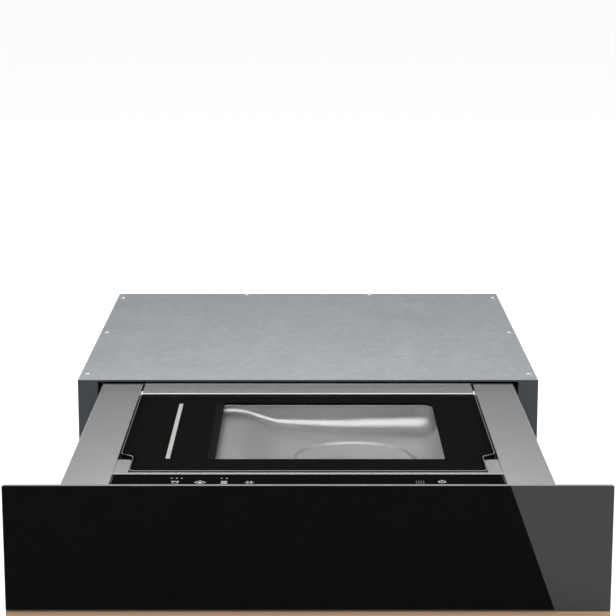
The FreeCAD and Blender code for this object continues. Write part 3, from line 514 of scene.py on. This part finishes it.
ink = blank("white_ceramic_ink")
screen = patterned(ink, "Noise", 1200.0).outputs[0]
surfaced(ink, toned(ink, screen, "#E0E0E0", "#F0F0F0"), 0.5)
marks = bmesh.new()
face_y = front_low.y
ink_gap = 0.03 * mm


def at_mark(x, behind, turn=0.0):
    """Where a mark lies on the touch panel: across, and behind the front, with a turn in degrees."""
    return Matrix.Translation((x * mm, face_y + behind * mm, panel_high.z + ink_gap)) @ Matrix.Rotation(
        radians(turn), 4, "Z")


def bar(x, behind, length, width, turn=0.0):
    """A printed bar."""
    bmesh.ops.create_grid(marks, x_segments=1, y_segments=1, size=0.5,
                          matrix=at_mark(x, behind, turn) @ Matrix.Diagonal((length * mm, width * mm, 1, 1)))


def disc(x, behind, radius, corners=20):
    """A printed dot, or a many-sided mark."""
    bmesh.ops.create_circle(marks, cap_ends=True, segments=corners, radius=radius * mm, matrix=at_mark(x, behind))


def loop(x, behind, radius, stroke, corners=32, turn=0.0):
    """A printed ring, or a many-sided outline."""
    made = bmesh.ops.create_circle(marks, cap_ends=True, segments=corners, radius=radius * mm,
                                   matrix=at_mark(x, behind, turn))
    face = made["verts"][0].link_faces[0]
    bmesh.ops.inset_individual(marks, faces=[face], thickness=stroke * mm)
    bmesh.ops.delete(marks, geom=[face], context="FACES_ONLY")


touch_x = (-132.4, -107.4, -83.6, -58.3, 133.6)
dot_row, head_row, sign_row, foot_row = 55, 44.5, 41, 37.5
for x in (-136.5, -131.3, -126.3, -86.4, -81.3):
    disc(x, dot_row, 0.9)
loop(touch_x[0], sign_row, 4.2, 0.9, 4, 45)
bar(touch_x[0], head_row, 7.5, 1.6)
loop(touch_x[1], sign_row, 6.0, 1.3, 4)
disc(touch_x[1], sign_row, 2.2, 4)
for turn in (45, -45):
    bar(touch_x[2], sign_row, 8.5, 1.3, turn)
for row in (head_row, foot_row):
    bar(touch_x[2], row, 6.5, 1.2)
for turn in (0, 60, 120):
    bar(touch_x[3], sign_row, 9.0, 1.2, turn)
disc(touch_x[3], sign_row, 1.9)
display_x, display_row, dots_across, dots_up = 108, 36, 2.4, 4.4
for column in range(4):
    for row in range(3):
        disc(display_x + dots_across * column, display_row + dots_up * row, 0.5, 8)
loop(touch_x[4], 43, 4.0, 1.0)
bar(touch_x[4], 46, 5.0, 1.1, 90)
piece("touch_panel_marks", marks, [ink], "drawer", "black_glass")

# Pod and board: a moulded tray under the touch panel holds its circuit board with the touch pads.
# Fibreglass board shows green through its varnish, with paler tracks; the chips are black.
eased("panel_pod", [black_plastic], 0.4 * mm)
fibreglass = blank("varnished_fibreglass_board")
tracks = patterned(fibreglass, "Brick", 120.0, {
    "Color1": linear("#1F5A38"), "Color2": linear("#23633E"), "Mortar": linear("#3F8A5C"), "Mortar Size": 0.03})
surfaced(fibreglass, tracks.outputs[0], 0.35)
board_low, board_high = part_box("panel_board")
middle_y = (board_low.y + board_high.y) / 2
board_edge, chip_half, chip_high = 0.2 * mm, 5 * mm, 1.6 * mm
pad = [(0, 0), (4.5, 0), (4.5, 0.8), (3, 1.6), (0, 1.6)]
parts = [block(board_low, board_high, board_edge, 1)]
parts += [(turned(pad, at(x, middle_y / mm, board_high.z / mm), 24), 1) for x in touch_x]
for x, wide in ((-20, 12), (20, 7), (60, 9), (112, 22)):
    parts.append((block((x * mm - wide * mm / 2, middle_y - chip_half, board_high.z),
                        (x * mm + wide * mm / 2, middle_y + chip_half, board_high.z + chip_high), board_edge, 1), 1))
piece("touch_board", merged(parts), [fibreglass, black_plastic], "drawer", "circuit_board", "panel_board")

# Lid: a thick plate of toughened glass with a finger notch cut from each front corner.
# Black enamel is fired on all but a clear window over the chamber and a slit over the sealing bar.
# A narrow band beside the window is painted shade: a half-tone print, dark over three quarters, that stands for the
# shade on the chamber's left wall.
lid_low, lid_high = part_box("lid_glass")
notch_width, notch_length, notch_slant, notch_edge = 13.6 * mm, 53.5 * mm, 8.5 * mm, 2.0 * mm
front_round, back_round, lid_arris = 7 * mm, 5 * mm, 0.6 * mm


def lid_outline(inset, level):
    """A face with the lid's outline, drawn in from its edge."""
    shape = bmesh.new()
    half, front, back = lid_high.x - inset, lid_low.y + inset, lid_high.y - inset
    inner, notch = lid_high.x - notch_width - inset, lid_low.y + notch_length
    right = [(inner, front), (inner, notch + inset), (half, notch + notch_slant + inset), (half, back)]
    corners = right + [(-x, y) for x, y in reversed(right)]
    shape.faces.new([shape.verts.new((x, y, level)) for x, y in corners])
    return shape


def new_points(made):
    """The points that an extrusion made."""
    return [v for v in made["geom"] if isinstance(v, bmesh.types.BMVert)]


def extruded(shape, depth):
    """A flat shape drawn straight up into a solid."""
    made = bmesh.ops.extrude_face_region(shape, geom=shape.faces[:])
    bmesh.ops.translate(shape, vec=(0, 0, depth), verts=new_points(made))
    bmesh.ops.recalc_face_normals(shape, faces=shape.faces[:])
    return shape


plate = extruded(lid_outline(0, lid_low.z), lid_high.z - lid_low.z)
soften(plate, front_round, 5, lambda e: runs(e, 2) and e.verts[0].co.y < lid_low.y + mm)
soften(plate, back_round, 5, lambda e: runs(e, 2) and e.verts[0].co.y > lid_low.y + front_round + 2 * mm)
notch_back = lid_low.y + notch_length - 2 * mm
soften(plate, notch_edge, 1, lambda e: min(v.co.z for v in e.verts) > lid_high.z - mm and abs(
    e.verts[1].co.x - e.verts[0].co.x) > 4 * mm and notch_back < e.verts[0].co.y < notch_back + 15 * mm)
soften(plate, lid_arris, 1, lambda e: not runs(e, 2) and e.calc_face_angle(0) > square)
for face in plate.faces:
    slope = abs(face.normal.z)
    face.material_index = 0 if slope > flat else 1 if slope > 0.2 else 2

clear_glass = blank("clear_toughened_glass")
solid_glass = add(clear_glass, "ShaderNodeBsdfPrincipled", {
    "Base Color": linear("#FAFAFA"), "Roughness": 0.0, "IOR": glass_ior, "Transmission Weight": 1.0})
lit_through = add(clear_glass, "ShaderNodeBsdfTransparent", {"Color": linear("#FAFAFA")})
lid_glass = add(clear_glass, "ShaderNodeMixShader", {
    0: any_ray(clear_glass, "Shadow", "Diffuse"), 1: solid_glass.outputs[0], 2: lit_through.outputs[0]})
add(clear_glass, "ShaderNodeOutputMaterial", {"Surface": lid_glass.outputs[0]})
piece("lid_plate", plate, [clear_glass, glass_edge, black_glass], "lid", "lid_glass", "lid_glass")

window = (-96.5 * mm, 142.6 * mm, face_y + 130.3 * mm, face_y + 360.3 * mm)
# Painted shade: this band of the print darkens the view into the chamber's left edge, where its wall lies in shade.
painted_shade_band = (window[0] - 9 * mm, window[0], window[2], window[3])
slit = (-148.6 * mm, -144.0 * mm, face_y + 131.8 * mm, face_y + 356.3 * mm)


def inside(face, area):
    """Whether a face's middle lies in a rectangle."""
    middle = face.calc_center_median()
    return area[0] < middle.x < area[1] and area[2] < middle.y < area[3]


def cut_at(shape, axis, value, chosen=lambda face: True, within=same_point):
    """Cuts the chosen faces of a shape along a plane, and keeps both sides."""
    faces = [f for f in shape.faces if chosen(f)]
    parts_cut = set(faces) | {e for f in faces for e in f.edges} | {v for f in faces for v in f.verts}
    point, normal = [0, 0, 0], [0, 0, 0]
    point[axis], normal[axis] = value, 1
    bmesh.ops.bisect_plane(shape, geom=list(parts_cut), plane_co=point, plane_no=normal, dist=within)


print_inset, print_thick = 0.5 * mm, 0.2 * mm
print_shape = lid_outline(print_inset, lid_low.z + print_thick)
for area in (window, painted_shade_band, slit):
    for axis, places in ((0, area[:2]), (1, area[2:])):
        for value in places:
            cut_at(print_shape, axis, value, within=0)
bmesh.ops.delete(print_shape, geom=[f for f in print_shape.faces if inside(f, window) or inside(f, slit)],
                 context="FACES")
for face in print_shape.faces:
    face.material_index = 1 if inside(face, painted_shade_band) else 0
print_shape = extruded(print_shape, print_thick)

enamel = blank("black_fired_enamel")
frit = patterned(enamel, "Noise", 700.0).outputs[0]
enamel_shader = add(enamel, "ShaderNodeBsdfDiffuse", {"Color": toned(enamel, frit, "#1D1D1D", "#1F1F1F")})
add(enamel, "ShaderNodeOutputMaterial", {"Surface": enamel_shader.outputs[0]})
# Painted shade: dark dots over three quarters with clear gaps, which darken the chamber's shaded left edge under the
# band.
painted_shade_print, dot_share = blank("painted_shade_half_tone"), 0.75
dots = add(painted_shade_print, "ShaderNodeBsdfDiffuse", {"Color": linear("#2C2C2C")})
gaps = add(painted_shade_print, "ShaderNodeBsdfTransparent")
mixed = add(painted_shade_print, "ShaderNodeMixShader", {0: dot_share, 1: gaps.outputs[0], 2: dots.outputs[0]})
add(painted_shade_print, "ShaderNodeOutputMaterial", {"Surface": mixed.outputs[0]})
piece("lid_print", print_shape, [enamel, painted_shade_print], "lid", "black_glass")

# Hinge rail: a folded stainless section that holds the glass on its shelf and turns on two stub pins.
# Pins and turned washers are nickel-plated, so they glint in the slots at the rail's ends.
# Under the deck each pin runs in a moulded black bearing.
nickel = blank("nickel_plated_steel")
nickel_film = patterned(nickel, "Noise", 300.0).outputs[0]
surfaced(nickel, linear("#D6D3CE"), ranged(nickel, nickel_film, 0.12, 0.2), Metallic=1.0)
rail_half, hinge_behind, hinge_level, washer_gap = 194.8, 414.6, 114, 0.3


def rail_or_pin(face):
    """The finish of a face of the hinge rail: 1 on its pins, 0 on the rest."""
    return int(abs(face.calc_center_median().x) > (rail_half + 0.1) * mm)


eased("hinge_rail", [steel, nickel], 0.25 * mm, 2, rail_or_pin)
for side in ("left", "right"):
    eased(f"hinge_bearing_{side}", [black_plastic], 0.6 * mm)
washer = [(4, 0), (6.5, 0), (6.5, 2.2), (4, 2.2), (4, 0)]
washers = [turned(washer, at(side * (rail_half + washer_gap), face_y / mm + hinge_behind, hinge_level, side * 90, "Y"))
           for side in sides]
piece("hinge_washers", merged(washers), [nickel], "lid", slots["hinge_rail"])

# Vacuum chamber: one stainless sheet, deep drawn, with a shelf that ramps down to the floor.
# Drawing leaves soft round corners, and a ring pressed in the floor stiffens it; the finish is satin.
tub_low, tub_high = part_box("chamber_tub")
rim, wall, corner, fillet, shelf_deep, well_deep = 16 * mm, 1.2 * mm, 24 * mm, 8 * mm, 24.5 * mm, 32.5 * mm
left, right, near, far = tub_low.x + rim, tub_high.x - rim, tub_low.y + rim, tub_high.y - rim
top, floor_z, shelf_z, well_z = tub_high.z, tub_low.z + wall, deck_level - shelf_deep, deck_level - well_deep
ramp, slope, slope_share, slope_more = (-86 * mm, -29 * mm), (-60 * mm, 50 * mm), 0.15, 0.13
fillet_grows, fillet_wide, fillet_tall = (-90 * mm, 120 * mm), (1.4, 1.3), (1.0, 1.5)  # from, and growth
columns, hair = 64, 0.01 * mm


def ease(value, start, end):
    """A soft step from 0 at start to 1 at end."""
    t = min(max((value - start) / (end - start), 0), 1)
    return t * t * (3 - 2 * t)


def lift(x, y):
    """How far the chamber's sheet stands over its floor: the shelf, its ramp and a last gentle slope."""
    steep, gentle = 1 - ease(x, *ramp), 1 - ease(x, *slope)
    share = slope_share + slope_more * ease(y, far - 70 * mm, far)
    return (shelf_z - floor_z) * ((1 - share) * steep + share * gentle)


def facing_up(shape):
    """Turns the faces of an open shape so that its floor faces up."""
    bmesh.ops.recalc_face_normals(shape, faces=shape.faces[:])
    if sum(f.normal.z * f.calc_area() for f in shape.faces) < 0:
        bmesh.ops.reverse_faces(shape, faces=shape.faces[:])


tub = block((left, near, floor_z), (right, far, top))
bmesh.ops.delete(tub, geom=[f for f in tub.faces if f.normal.z > 0.9], context="FACES_ONLY")
soften(tub, corner, 10, lambda e: runs(e, 2))
soften(tub, fillet, 8, lambda e: max(v.co.z for v in e.verts) < floor_z + mm)
for step in range(1, columns):
    cut_at(tub, 0, left + step * (right - left) / columns)
for vert in tub.verts:
    x, y, z = vert.co
    if z > floor_z + fillet + hair:
        continue
    core = Vector((min(max(x, left + corner), right - corner), min(max(y, near + corner), far - corner), 0))
    out = Vector((x, y, 0)) - core
    along = ease(x, *fillet_grows)
    wide, tall = (start + more * along for start, more in (fillet_wide, fillet_tall))
    if corner - fillet - hair < out.length:
        vert.co.xy = (core + out.normalized() * (corner - wide * (corner - out.length))).xy
    vert.co.z = floor_z + tall * (z - floor_z) + lift(x, y)

# The well for the sealing bar is sunk in the shelf.
well_x, well_y = (left + 9 * mm, left + 31 * mm), (face_y + 122 * mm, face_y + 359 * mm)
shelf_end = -100 * mm


def on_shelf(face):
    """Whether a face lies on the flat shelf."""
    return abs(face.normal.z) > flat and face.calc_center_median().x < shelf_end


for value in well_x:
    cut_at(tub, 0, value, on_shelf)
for value in well_y:
    cut_at(tub, 1, value, on_shelf)
pocket = [f for f in tub.faces if on_shelf(f) and inside(f, (*well_x, *well_y))]
sunk = bmesh.ops.extrude_face_region(tub, geom=pocket)
bmesh.ops.translate(tub, vec=(0, 0, well_z - shelf_z), verts=new_points(sunk))
facing_up(tub)

# The flange runs out from the rim, and the underside lies one sheet below.
flange = bmesh.ops.extrude_edge_only(tub, edges=[e for e in tub.edges if e.is_boundary])
middle = Vector(((left + right) / 2, (near + far) / 2, 0))
spread = Matrix.Diagonal((1 + 2 * rim / (right - left), 1 + 2 * rim / (far - near), 1, 1))
bmesh.ops.transform(tub, matrix=Matrix.Translation(middle) @ spread @ Matrix.Translation(-middle),
                    verts=new_points(flange))
facing_up(tub)
under = tub.copy()
for vert in under.verts:
    vert.co -= vert.normal * wall
bmesh.ops.reverse_faces(under, faces=under.faces[:])
tub = merged([tub, under])
bmesh.ops.bridge_loops(tub, edges=[e for e in tub.edges if e.is_boundary])

# The pressed ring is a round bead on the floor.
ring_inset, ring_behind, ring_radius, ring_step, ring_sunk, ring_rise = 98.4 * mm, 240 * mm, 65.8, 1.05, 0.6, 3.3
ring = [(ring_radius + ring_step * t, ring_rise * (0.5 + 0.5 * cos(pi * t / 4)) - ring_sunk) for t in range(-4, 5)]
bead = turned(ring + [ring[0]], Matrix.Translation((right - ring_inset, face_y + ring_behind, floor_z)), 96)
for vert in bead.verts:
    vert.co.z += lift(vert.co.x, vert.co.y)
tub = merged([tub, bead])

satin = blank("satin_drawn_stainless")
lines = brushed(satin, 60 * mm, 1.6 * mm)
surfaced(satin, toned(satin, lines, "#AEAEAE", "#C4C4C4"),
         ranged(satin, lines, 0.37, 0.42, {"From Min": 0.3, "From Max": 0.7}), Metallic=1.0,
         Normal=bumped(satin, lines, 0.12, 0.2 * mm))
piece("drawn_chamber", tub, [satin], "drawer", "chamber_steel", "chamber_tub")

# Chamber gasket: an endless ring of moulded rubber in the deck's recess, under the lid's edge.
# Its top is rounded, and matt black.
eased("chamber_gasket", [rubber], 1.2 * mm, 3)


# Suction port: a turned stainless bush through the shelf, with a bright rim.
# It is screwed down into the valve block and holds the chamber's sheet between them.
def middle_of(node):
    """The middle of a node's box, in mm."""
    return [(low + high) / 2 / mm for low, high in zip(*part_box(node))]


port_x, port_y = middle_of("suction_port")[:2]
port_foot, port_top = 62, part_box("suction_port")[1].z / mm
bush = [(3.5, port_foot), (4.8, port_foot), (4.8, port_top - 2), (7.2, port_top - 2), (7.3, port_top - 0.8),
        (6.6, port_top), (4.4, port_top), (3.5, port_top - 0.9), (3.5, port_foot)]
piece("suction_bush", turned(bush, at(port_x, port_y, 0)), [nickel], "drawer", slots["suction_port"], "suction_port")

# Sealing bar: an anodised aluminium section that two small cylinders push up under the lid.
# Silver anodising keeps the drawn lines of the section and has a soft sheen.
silver = blank("silver_anodised_aluminium")
drawn_lines = brushed(silver, 120 * mm, 1.2 * mm, 1)
surfaced(silver, linear("#DADBDC"), 0.3, Metallic=1.0, Normal=bumped(silver, drawn_lines, 0.25, 0.1 * mm))
eased("sealing_bar", [silver], 0.6 * mm)
for end in ("front", "rear"):
    x, y = middle_of(f"lift_piston_{end}")[:2]
    foot, head = (place.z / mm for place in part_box(f"lift_piston_{end}"))
    rod = [(0, foot), (3.6, foot), (4, foot + 0.4), (4, foot + 2), (3.4, foot + 2.2), (3.4, foot + 4),
           (4, foot + 4.2), (4, head), (0, head)]
    piece(f"piston_{end}", turned(rod, at(x, y, 0), 32), [silver], "seal_bar", slots[f"lift_piston_{end}"],
          f"lift_piston_{end}")

# Lift cylinders: die-cast aluminium bodies under the chamber that hold the pistons.
# A casting is a dull silver grey with a slightly rough skin.
cast = blank("die_cast_aluminium")
skin = patterned(cast, "Noise", 500.0, {"Detail": 3.0}).outputs[0]
surfaced(cast, toned(cast, skin, "#A4A6A8", "#BDBFC1"), 0.48, Metallic=1.0, Normal=bumped(cast, skin, 0.4, 0.2 * mm))
for end in ("front", "rear"):
    eased(f"lift_cylinder_{end}", [cast], 0.6 * mm)

# Heating strip: a flat resistance ribbon under a tape of coated glass cloth, on top of the bar.
# The tape is tan, and its plain weave shows as a fine grid.
tape = blank("coated_glass_cloth_tape")
warp, weft = (patterned(tape, "Wave", 260.0, bands_direction=way).outputs[1] for way in "XY")
weave = add(tape, "ShaderNodeMath", {0: warp, 1: weft}, operation="MULTIPLY").outputs[0]
surfaced(tape, toned(tape, weave, "#7A5A3A", "#A07A50"), 0.4, Normal=bumped(tape, weave, 0.4, 0.1 * mm))
eased("heating_strip", [tape], 0.15 * mm)

# Counter strip: a bar of clear silicone rubber under the lid, which the sealing bar presses the bag against.
# It is milky and slightly glossy, and shows as a pale stripe through the slit in the lid's print.
silicone = blank("clear_silicone_rubber")
milk = patterned(silicone, "Noise", 90.0).outputs[0]
surfaced(silicone, toned(silicone, milk, "#F0F0EE", "#FAFAF8"), 0.35, IOR=1.41,
         **{"Subsurface Weight": 0.4, "Subsurface Scale": 2 * mm})
eased("counter_strip", [silicone], 0.9 * mm, 3)

# Valve block: an aluminium block on the tray's floor, with two solenoid coils and a barb for the hose.
# The block has the dull skin of cast metal; the coils are potted in black plastic.
block_low, block_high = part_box("valve_block")
valve_half, coil_apart, coil_level, hose_level = 25, 12, 34, 42
body_low = Vector(((port_x - valve_half) * mm, (port_y - valve_half) * mm, block_low.z))
body_high = Vector(((port_x + valve_half) * mm, (port_y + valve_half) * mm, block_high.z))
coil = [(0, 0), (7.6, 0), (8.4, 0.8), (8.4, 20), (7.6, 21), (3, 21), (3, 21.8), (0, 21.8)]
barb = [(2.5, 0), (3.6, 0), (4.0, 2), (3.6, 2.2), (4.0, 5), (3.6, 5.2), (4.0, 8), (3.4, 8.4), (3.2, 12), (2.5, 12),
        (2.5, 0)]
valves = [block(body_low, body_high, 0.8 * mm), turned(barb, at(port_x + valve_half, port_y, hose_level, 90, "Y"), 32)]
valves += [(turned(coil, at(port_x + side * coil_apart, body_low.y / mm, coil_level, 90), 40), 1) for side in sides]
piece("valves", merged(valves), [cast, black_plastic], "drawer", slots["valve_block"], "valve_block")

# Pump hose: a short straight hose between two barbs, held at both ends by spring clips.
# It is extruded black rubber, and swells a little where the barbs are.
hose_low, hose_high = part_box("pump_hose")
run = (hose_high.x - hose_low.x) / mm
tube = [(4.1, 0), (5.7, 0), (6, 0.5), (6, 11), (5.5, 15), (5.5, run - 15), (6, run - 11), (6, run - 0.5), (5.7, run),
        (4.1, run), (4.1, 0)]
piece("pump_hose_tube", turned(tube, at(hose_low.x / mm, port_y, hose_level, 90, "Y"), 40), [rubber], "drawer",
      slots["pump_hose"], "pump_hose")
clip = [(6.05, 0), (6.8, 0), (6.8, 5), (6.05, 5), (6.05, 0)]
clips = [turned(clip, at(hose_low.x / mm + along, port_y, hose_level, 90, "Y"), 40) for along in (3.5, run - 8.5)]
piece("hose_clips", merged(clips), [plated], "drawer", "bearing_steel")

# Vacuum pump: a die-cast head with cooling fins on a foot plate, its motor flanged to one side.
# The motor's drawn steel can is stoved dark grey, with a fine orange peel.
eased("pump_head", [cast], 0.8 * mm)
stoved = blank("dark_stoved_enamel")
peel = patterned(stoved, "Noise", 350.0).outputs[0]
surfaced(stoved, linear("#33373A"), 0.32, Normal=bumped(stoved, peel, 0.3, 0.2 * mm))
motor_low, motor_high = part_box("pump_motor")
boss = 6
can = (motor_high.x - motor_low.x) / mm - boss
motor = [(0, 0), (25.6, 0), (26.6, 1), (26.6, 7), (25.8, 8), (25.8, can - 8), (26.6, can - 7), (26.6, can - 1.5),
         (25.6, can), (9, can), (8.6, can + boss - 1), (7.6, can + boss), (0, can + boss)]
motor_place = at(motor_low.x / mm, port_y, middle_of("pump_motor")[2], 90, "Y")
piece("motor_can", turned(motor, motor_place, 64), [stoved], "drawer", slots["pump_motor"], "pump_motor")

# Pump mounts: four waisted rubber buffers that keep the pump's shake from the tray.
# They are the same black moulded rubber as the seals.
mount_low, mount_high = (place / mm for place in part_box("pump_mounts"))
widest = 7.4
buffer = [(0, 0), (7.2, 0), (widest, 0.6), (6.2, 3), (widest, 5.4), (7.2, 6), (0, 6)]
buffers = [turned(buffer, at(x, y, mount_low.z), 32) for x in (mount_low.x + widest, mount_high.x - widest)
           for y in (mount_low.y + widest, mount_high.y - widest)]
piece("rubber_buffers", merged(buffers), [rubber], "drawer", slots["pump_mounts"], "pump_mounts")

# Exhaust filter: a moulded cartridge on the head's outlet that catches oil mist.
# Its black moulded body is ribbed all round for grip.
cartridge = [(0, 0), (5.4, 0), (5.4, 6), (12.5, 6), (14.2, 8)]
for rib in range(6):
    start = 11 + 5 * rib
    cartridge += [(14.2, start), (13.4, start + 0.6), (13.4, start + 2.4), (14.2, start + 3)]
cartridge += [(14.2, 43), (12.6, 45.5), (5, 46), (0, 46)]
outlet = at(middle_of("exhaust_filter")[0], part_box("exhaust_filter")[1].y / mm, hose_level, 90)
piece("filter_cartridge", turned(cartridge, outlet), [black_plastic], "drawer", slots["exhaust_filter"],
      "exhaust_filter")

# Transformer: a toroidal winding wrapped in polyester tape, which feeds the heating strip.
# Each turn of the tape laps the last, so fine radial bands run round the ring.
wrap = blank("polyester_winding_tape")
toroid_low, toroid_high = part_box("transformer")
toroid_middle = (toroid_low + toroid_high) / 2
wrap_at = add(wrap, "ShaderNodeTexCoord")
centred = add(wrap, "ShaderNodeMapping", {"Vector": wrap_at.outputs["Object"], "Location": -toroid_middle})
around = add(wrap, "ShaderNodeTexGradient", {"Vector": centred.outputs[0]}, gradient_type="RADIAL")
turns = add(wrap, "ShaderNodeMath", {0: around.outputs[1], 1: 60.0}, operation="MULTIPLY")
lap = add(wrap, "ShaderNodeMath", {0: turns.outputs[0]}, operation="FRACT").outputs[0]
surfaced(wrap, toned(wrap, lap, "#B98F3A", "#D2A94E"), 0.35, Normal=bumped(wrap, lap, 0.4, 0.2 * mm))
winding, wound_round = [], 8
for quarter, (radius, height) in enumerate(((32.5, 28), (20, 28), (20, 8), (32.5, 8))):
    angles = [pi / 2 * (quarter + step / 6) for step in range(7)]
    winding += [(radius + wound_round * cos(angle), height + wound_round * sin(angle)) for angle in angles]
toroid_place = at(toroid_middle.x / mm, toroid_middle.y / mm, toroid_low.z / mm)
piece("toroid_winding", turned(winding + winding[:1], toroid_place, 80), [wrap], "drawer", slots["transformer"],
      "transformer")

# Transformer clamp: a dished washer and a stud with its nut, which hold the ring to the tray.
# They are bright zinc-plated steel.
dished = [(3, 36.3), (8, 36.3), (20, 36.3), (22.8, 36.8), (23, 37.6), (20, 38), (3, 38), (3, 36.3)]
stud = [(0, 0), (2.8, 0), (2.8, 41.5), (2.3, 42), (0, 42)]
nut = [(2.9, 38), (5.4, 38), (5.4, 41), (4.6, 41.3), (2.9, 41.3), (2.9, 38)]
clamp = [turned(dished, toroid_place), turned(stud, toroid_place, 24), turned(nut, toroid_place, 6)]
piece("clamp_and_stud", merged(clamp), [plated], "drawer", slots["transformer_clamp"], "transformer_clamp")

# Power board: on four pillars over the tray's floor, with the parts that switch the pump and the bar.
# Green board, sleeved capacitors, a relay, white terminal blocks and a silver finned heat sink.
power_low, power_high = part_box("power_board")
pillar, board_thick = 9.6, 1.6
x, y, z = power_low.x / mm, (power_low.y + power_high.y) / 2 / mm, power_low.z / mm + pillar
white_plastic = moulded("white_nylon", "#D5D5D0", 0.4)
board = [block((power_low.x, power_low.y, (z - board_thick) * mm), (power_high.x, power_high.y, z * mm), board_edge, 1)]
foot = [(0, -pillar), (2.8, -pillar), (2.8, -board_thick), (0, -board_thick)]
board += [(turned(foot, at(x + px, y + py, z), 6), 3) for px in (5, 125) for py in (-26, 26)]
for px, py, radius, height in ((27.5, 0, 10.8, 32), (50, -20, 5, 14), (50, 20, 5, 14), (14, 22, 4, 10)):
    sleeve = [(0, 0), (radius - 0.6, 0), (radius, 0.6), (radius, 2), (radius - 0.5, 2.6), (radius, 3.2),
              (radius, height - 0.8), (radius - 1, height), (0, height - 0.3)]
    board.append((turned(sleeve, at(x + px, y + py, z), 32), 1))
boxes = [(65, 0, 20, 20, 16, 0.5, 1), (65, -24, 26, 8, 10, 0.5, 2), (65, 22, 14, 10, 4, 0.5, 1),
         (8, -6, 8, 14, 9, 0.5, 2), (103.5, 0, 27, 38, 4, 0.3, 4)]
boxes += [(91.5 + 8 * fin, 0, 3, 38, 24, 0.4, 4) for fin in range(4)]
for px, py, wide, deep, high, edge, finish in boxes:
    board.append((block(((x + px - wide / 2) * mm, (y + py - deep / 2) * mm, z * mm),
                        ((x + px + wide / 2) * mm, (y + py + deep / 2) * mm, (z + high) * mm), edge * mm), finish))
piece("power_parts", merged(board), [fibreglass, black_plastic, white_plastic, plated, silver], "drawer",
      slots["power_board"], "power_board")

# Lid switch: a moulded housing under the deck, and a stem that the shut lid presses.
# Both are moulded plastic with a fine grain, the housing black and the stem grey.
grey_plastic = moulded("grey_abs_plastic", "#7C7F80", 0.45)
eased("lid_switch", [black_plastic], 0.5 * mm)
stem_low, stem_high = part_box("lid_switch_stem")
length = (stem_high.z - stem_low.z) / mm
stem = [(0, 0), (2.2, 0), (2.5, 0.4), (2.5, length - 1.2), (2.0, length - 0.4), (1.0, length), (0, length)]
x, y = middle_of("lid_switch_stem")[:2]
piece("switch_stem", turned(stem, at(x, y, stem_low.z / mm), 32), [grey_plastic], "lid_switch_stem",
      slots["lid_switch_stem"], "lid_switch_stem")

# Push latch: a moulded housing on the case's back wall, with the plunger that kicks the drawer out.
# Grey plastic with a fine grain; the plunger's nose is rounded.
eased("latch_housing", [grey_plastic], 0.8 * mm)
nose_low, nose_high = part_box("latch_plunger")
length = (nose_high.y - nose_low.y) / mm
plunger = [(0, 0), (3.2, 0), (4.4, 0.5), (5, 1.6), (5, length - 0.5), (4.5, length), (0, length)]
x, z = middle_of("latch_plunger")[::2]
piece("latch_plunger_rod", turned(plunger, at(x, nose_low.y / mm, z, -90), 40), [grey_plastic], "latch_plunger",
      slots["latch_plunger"], "latch_plunger")
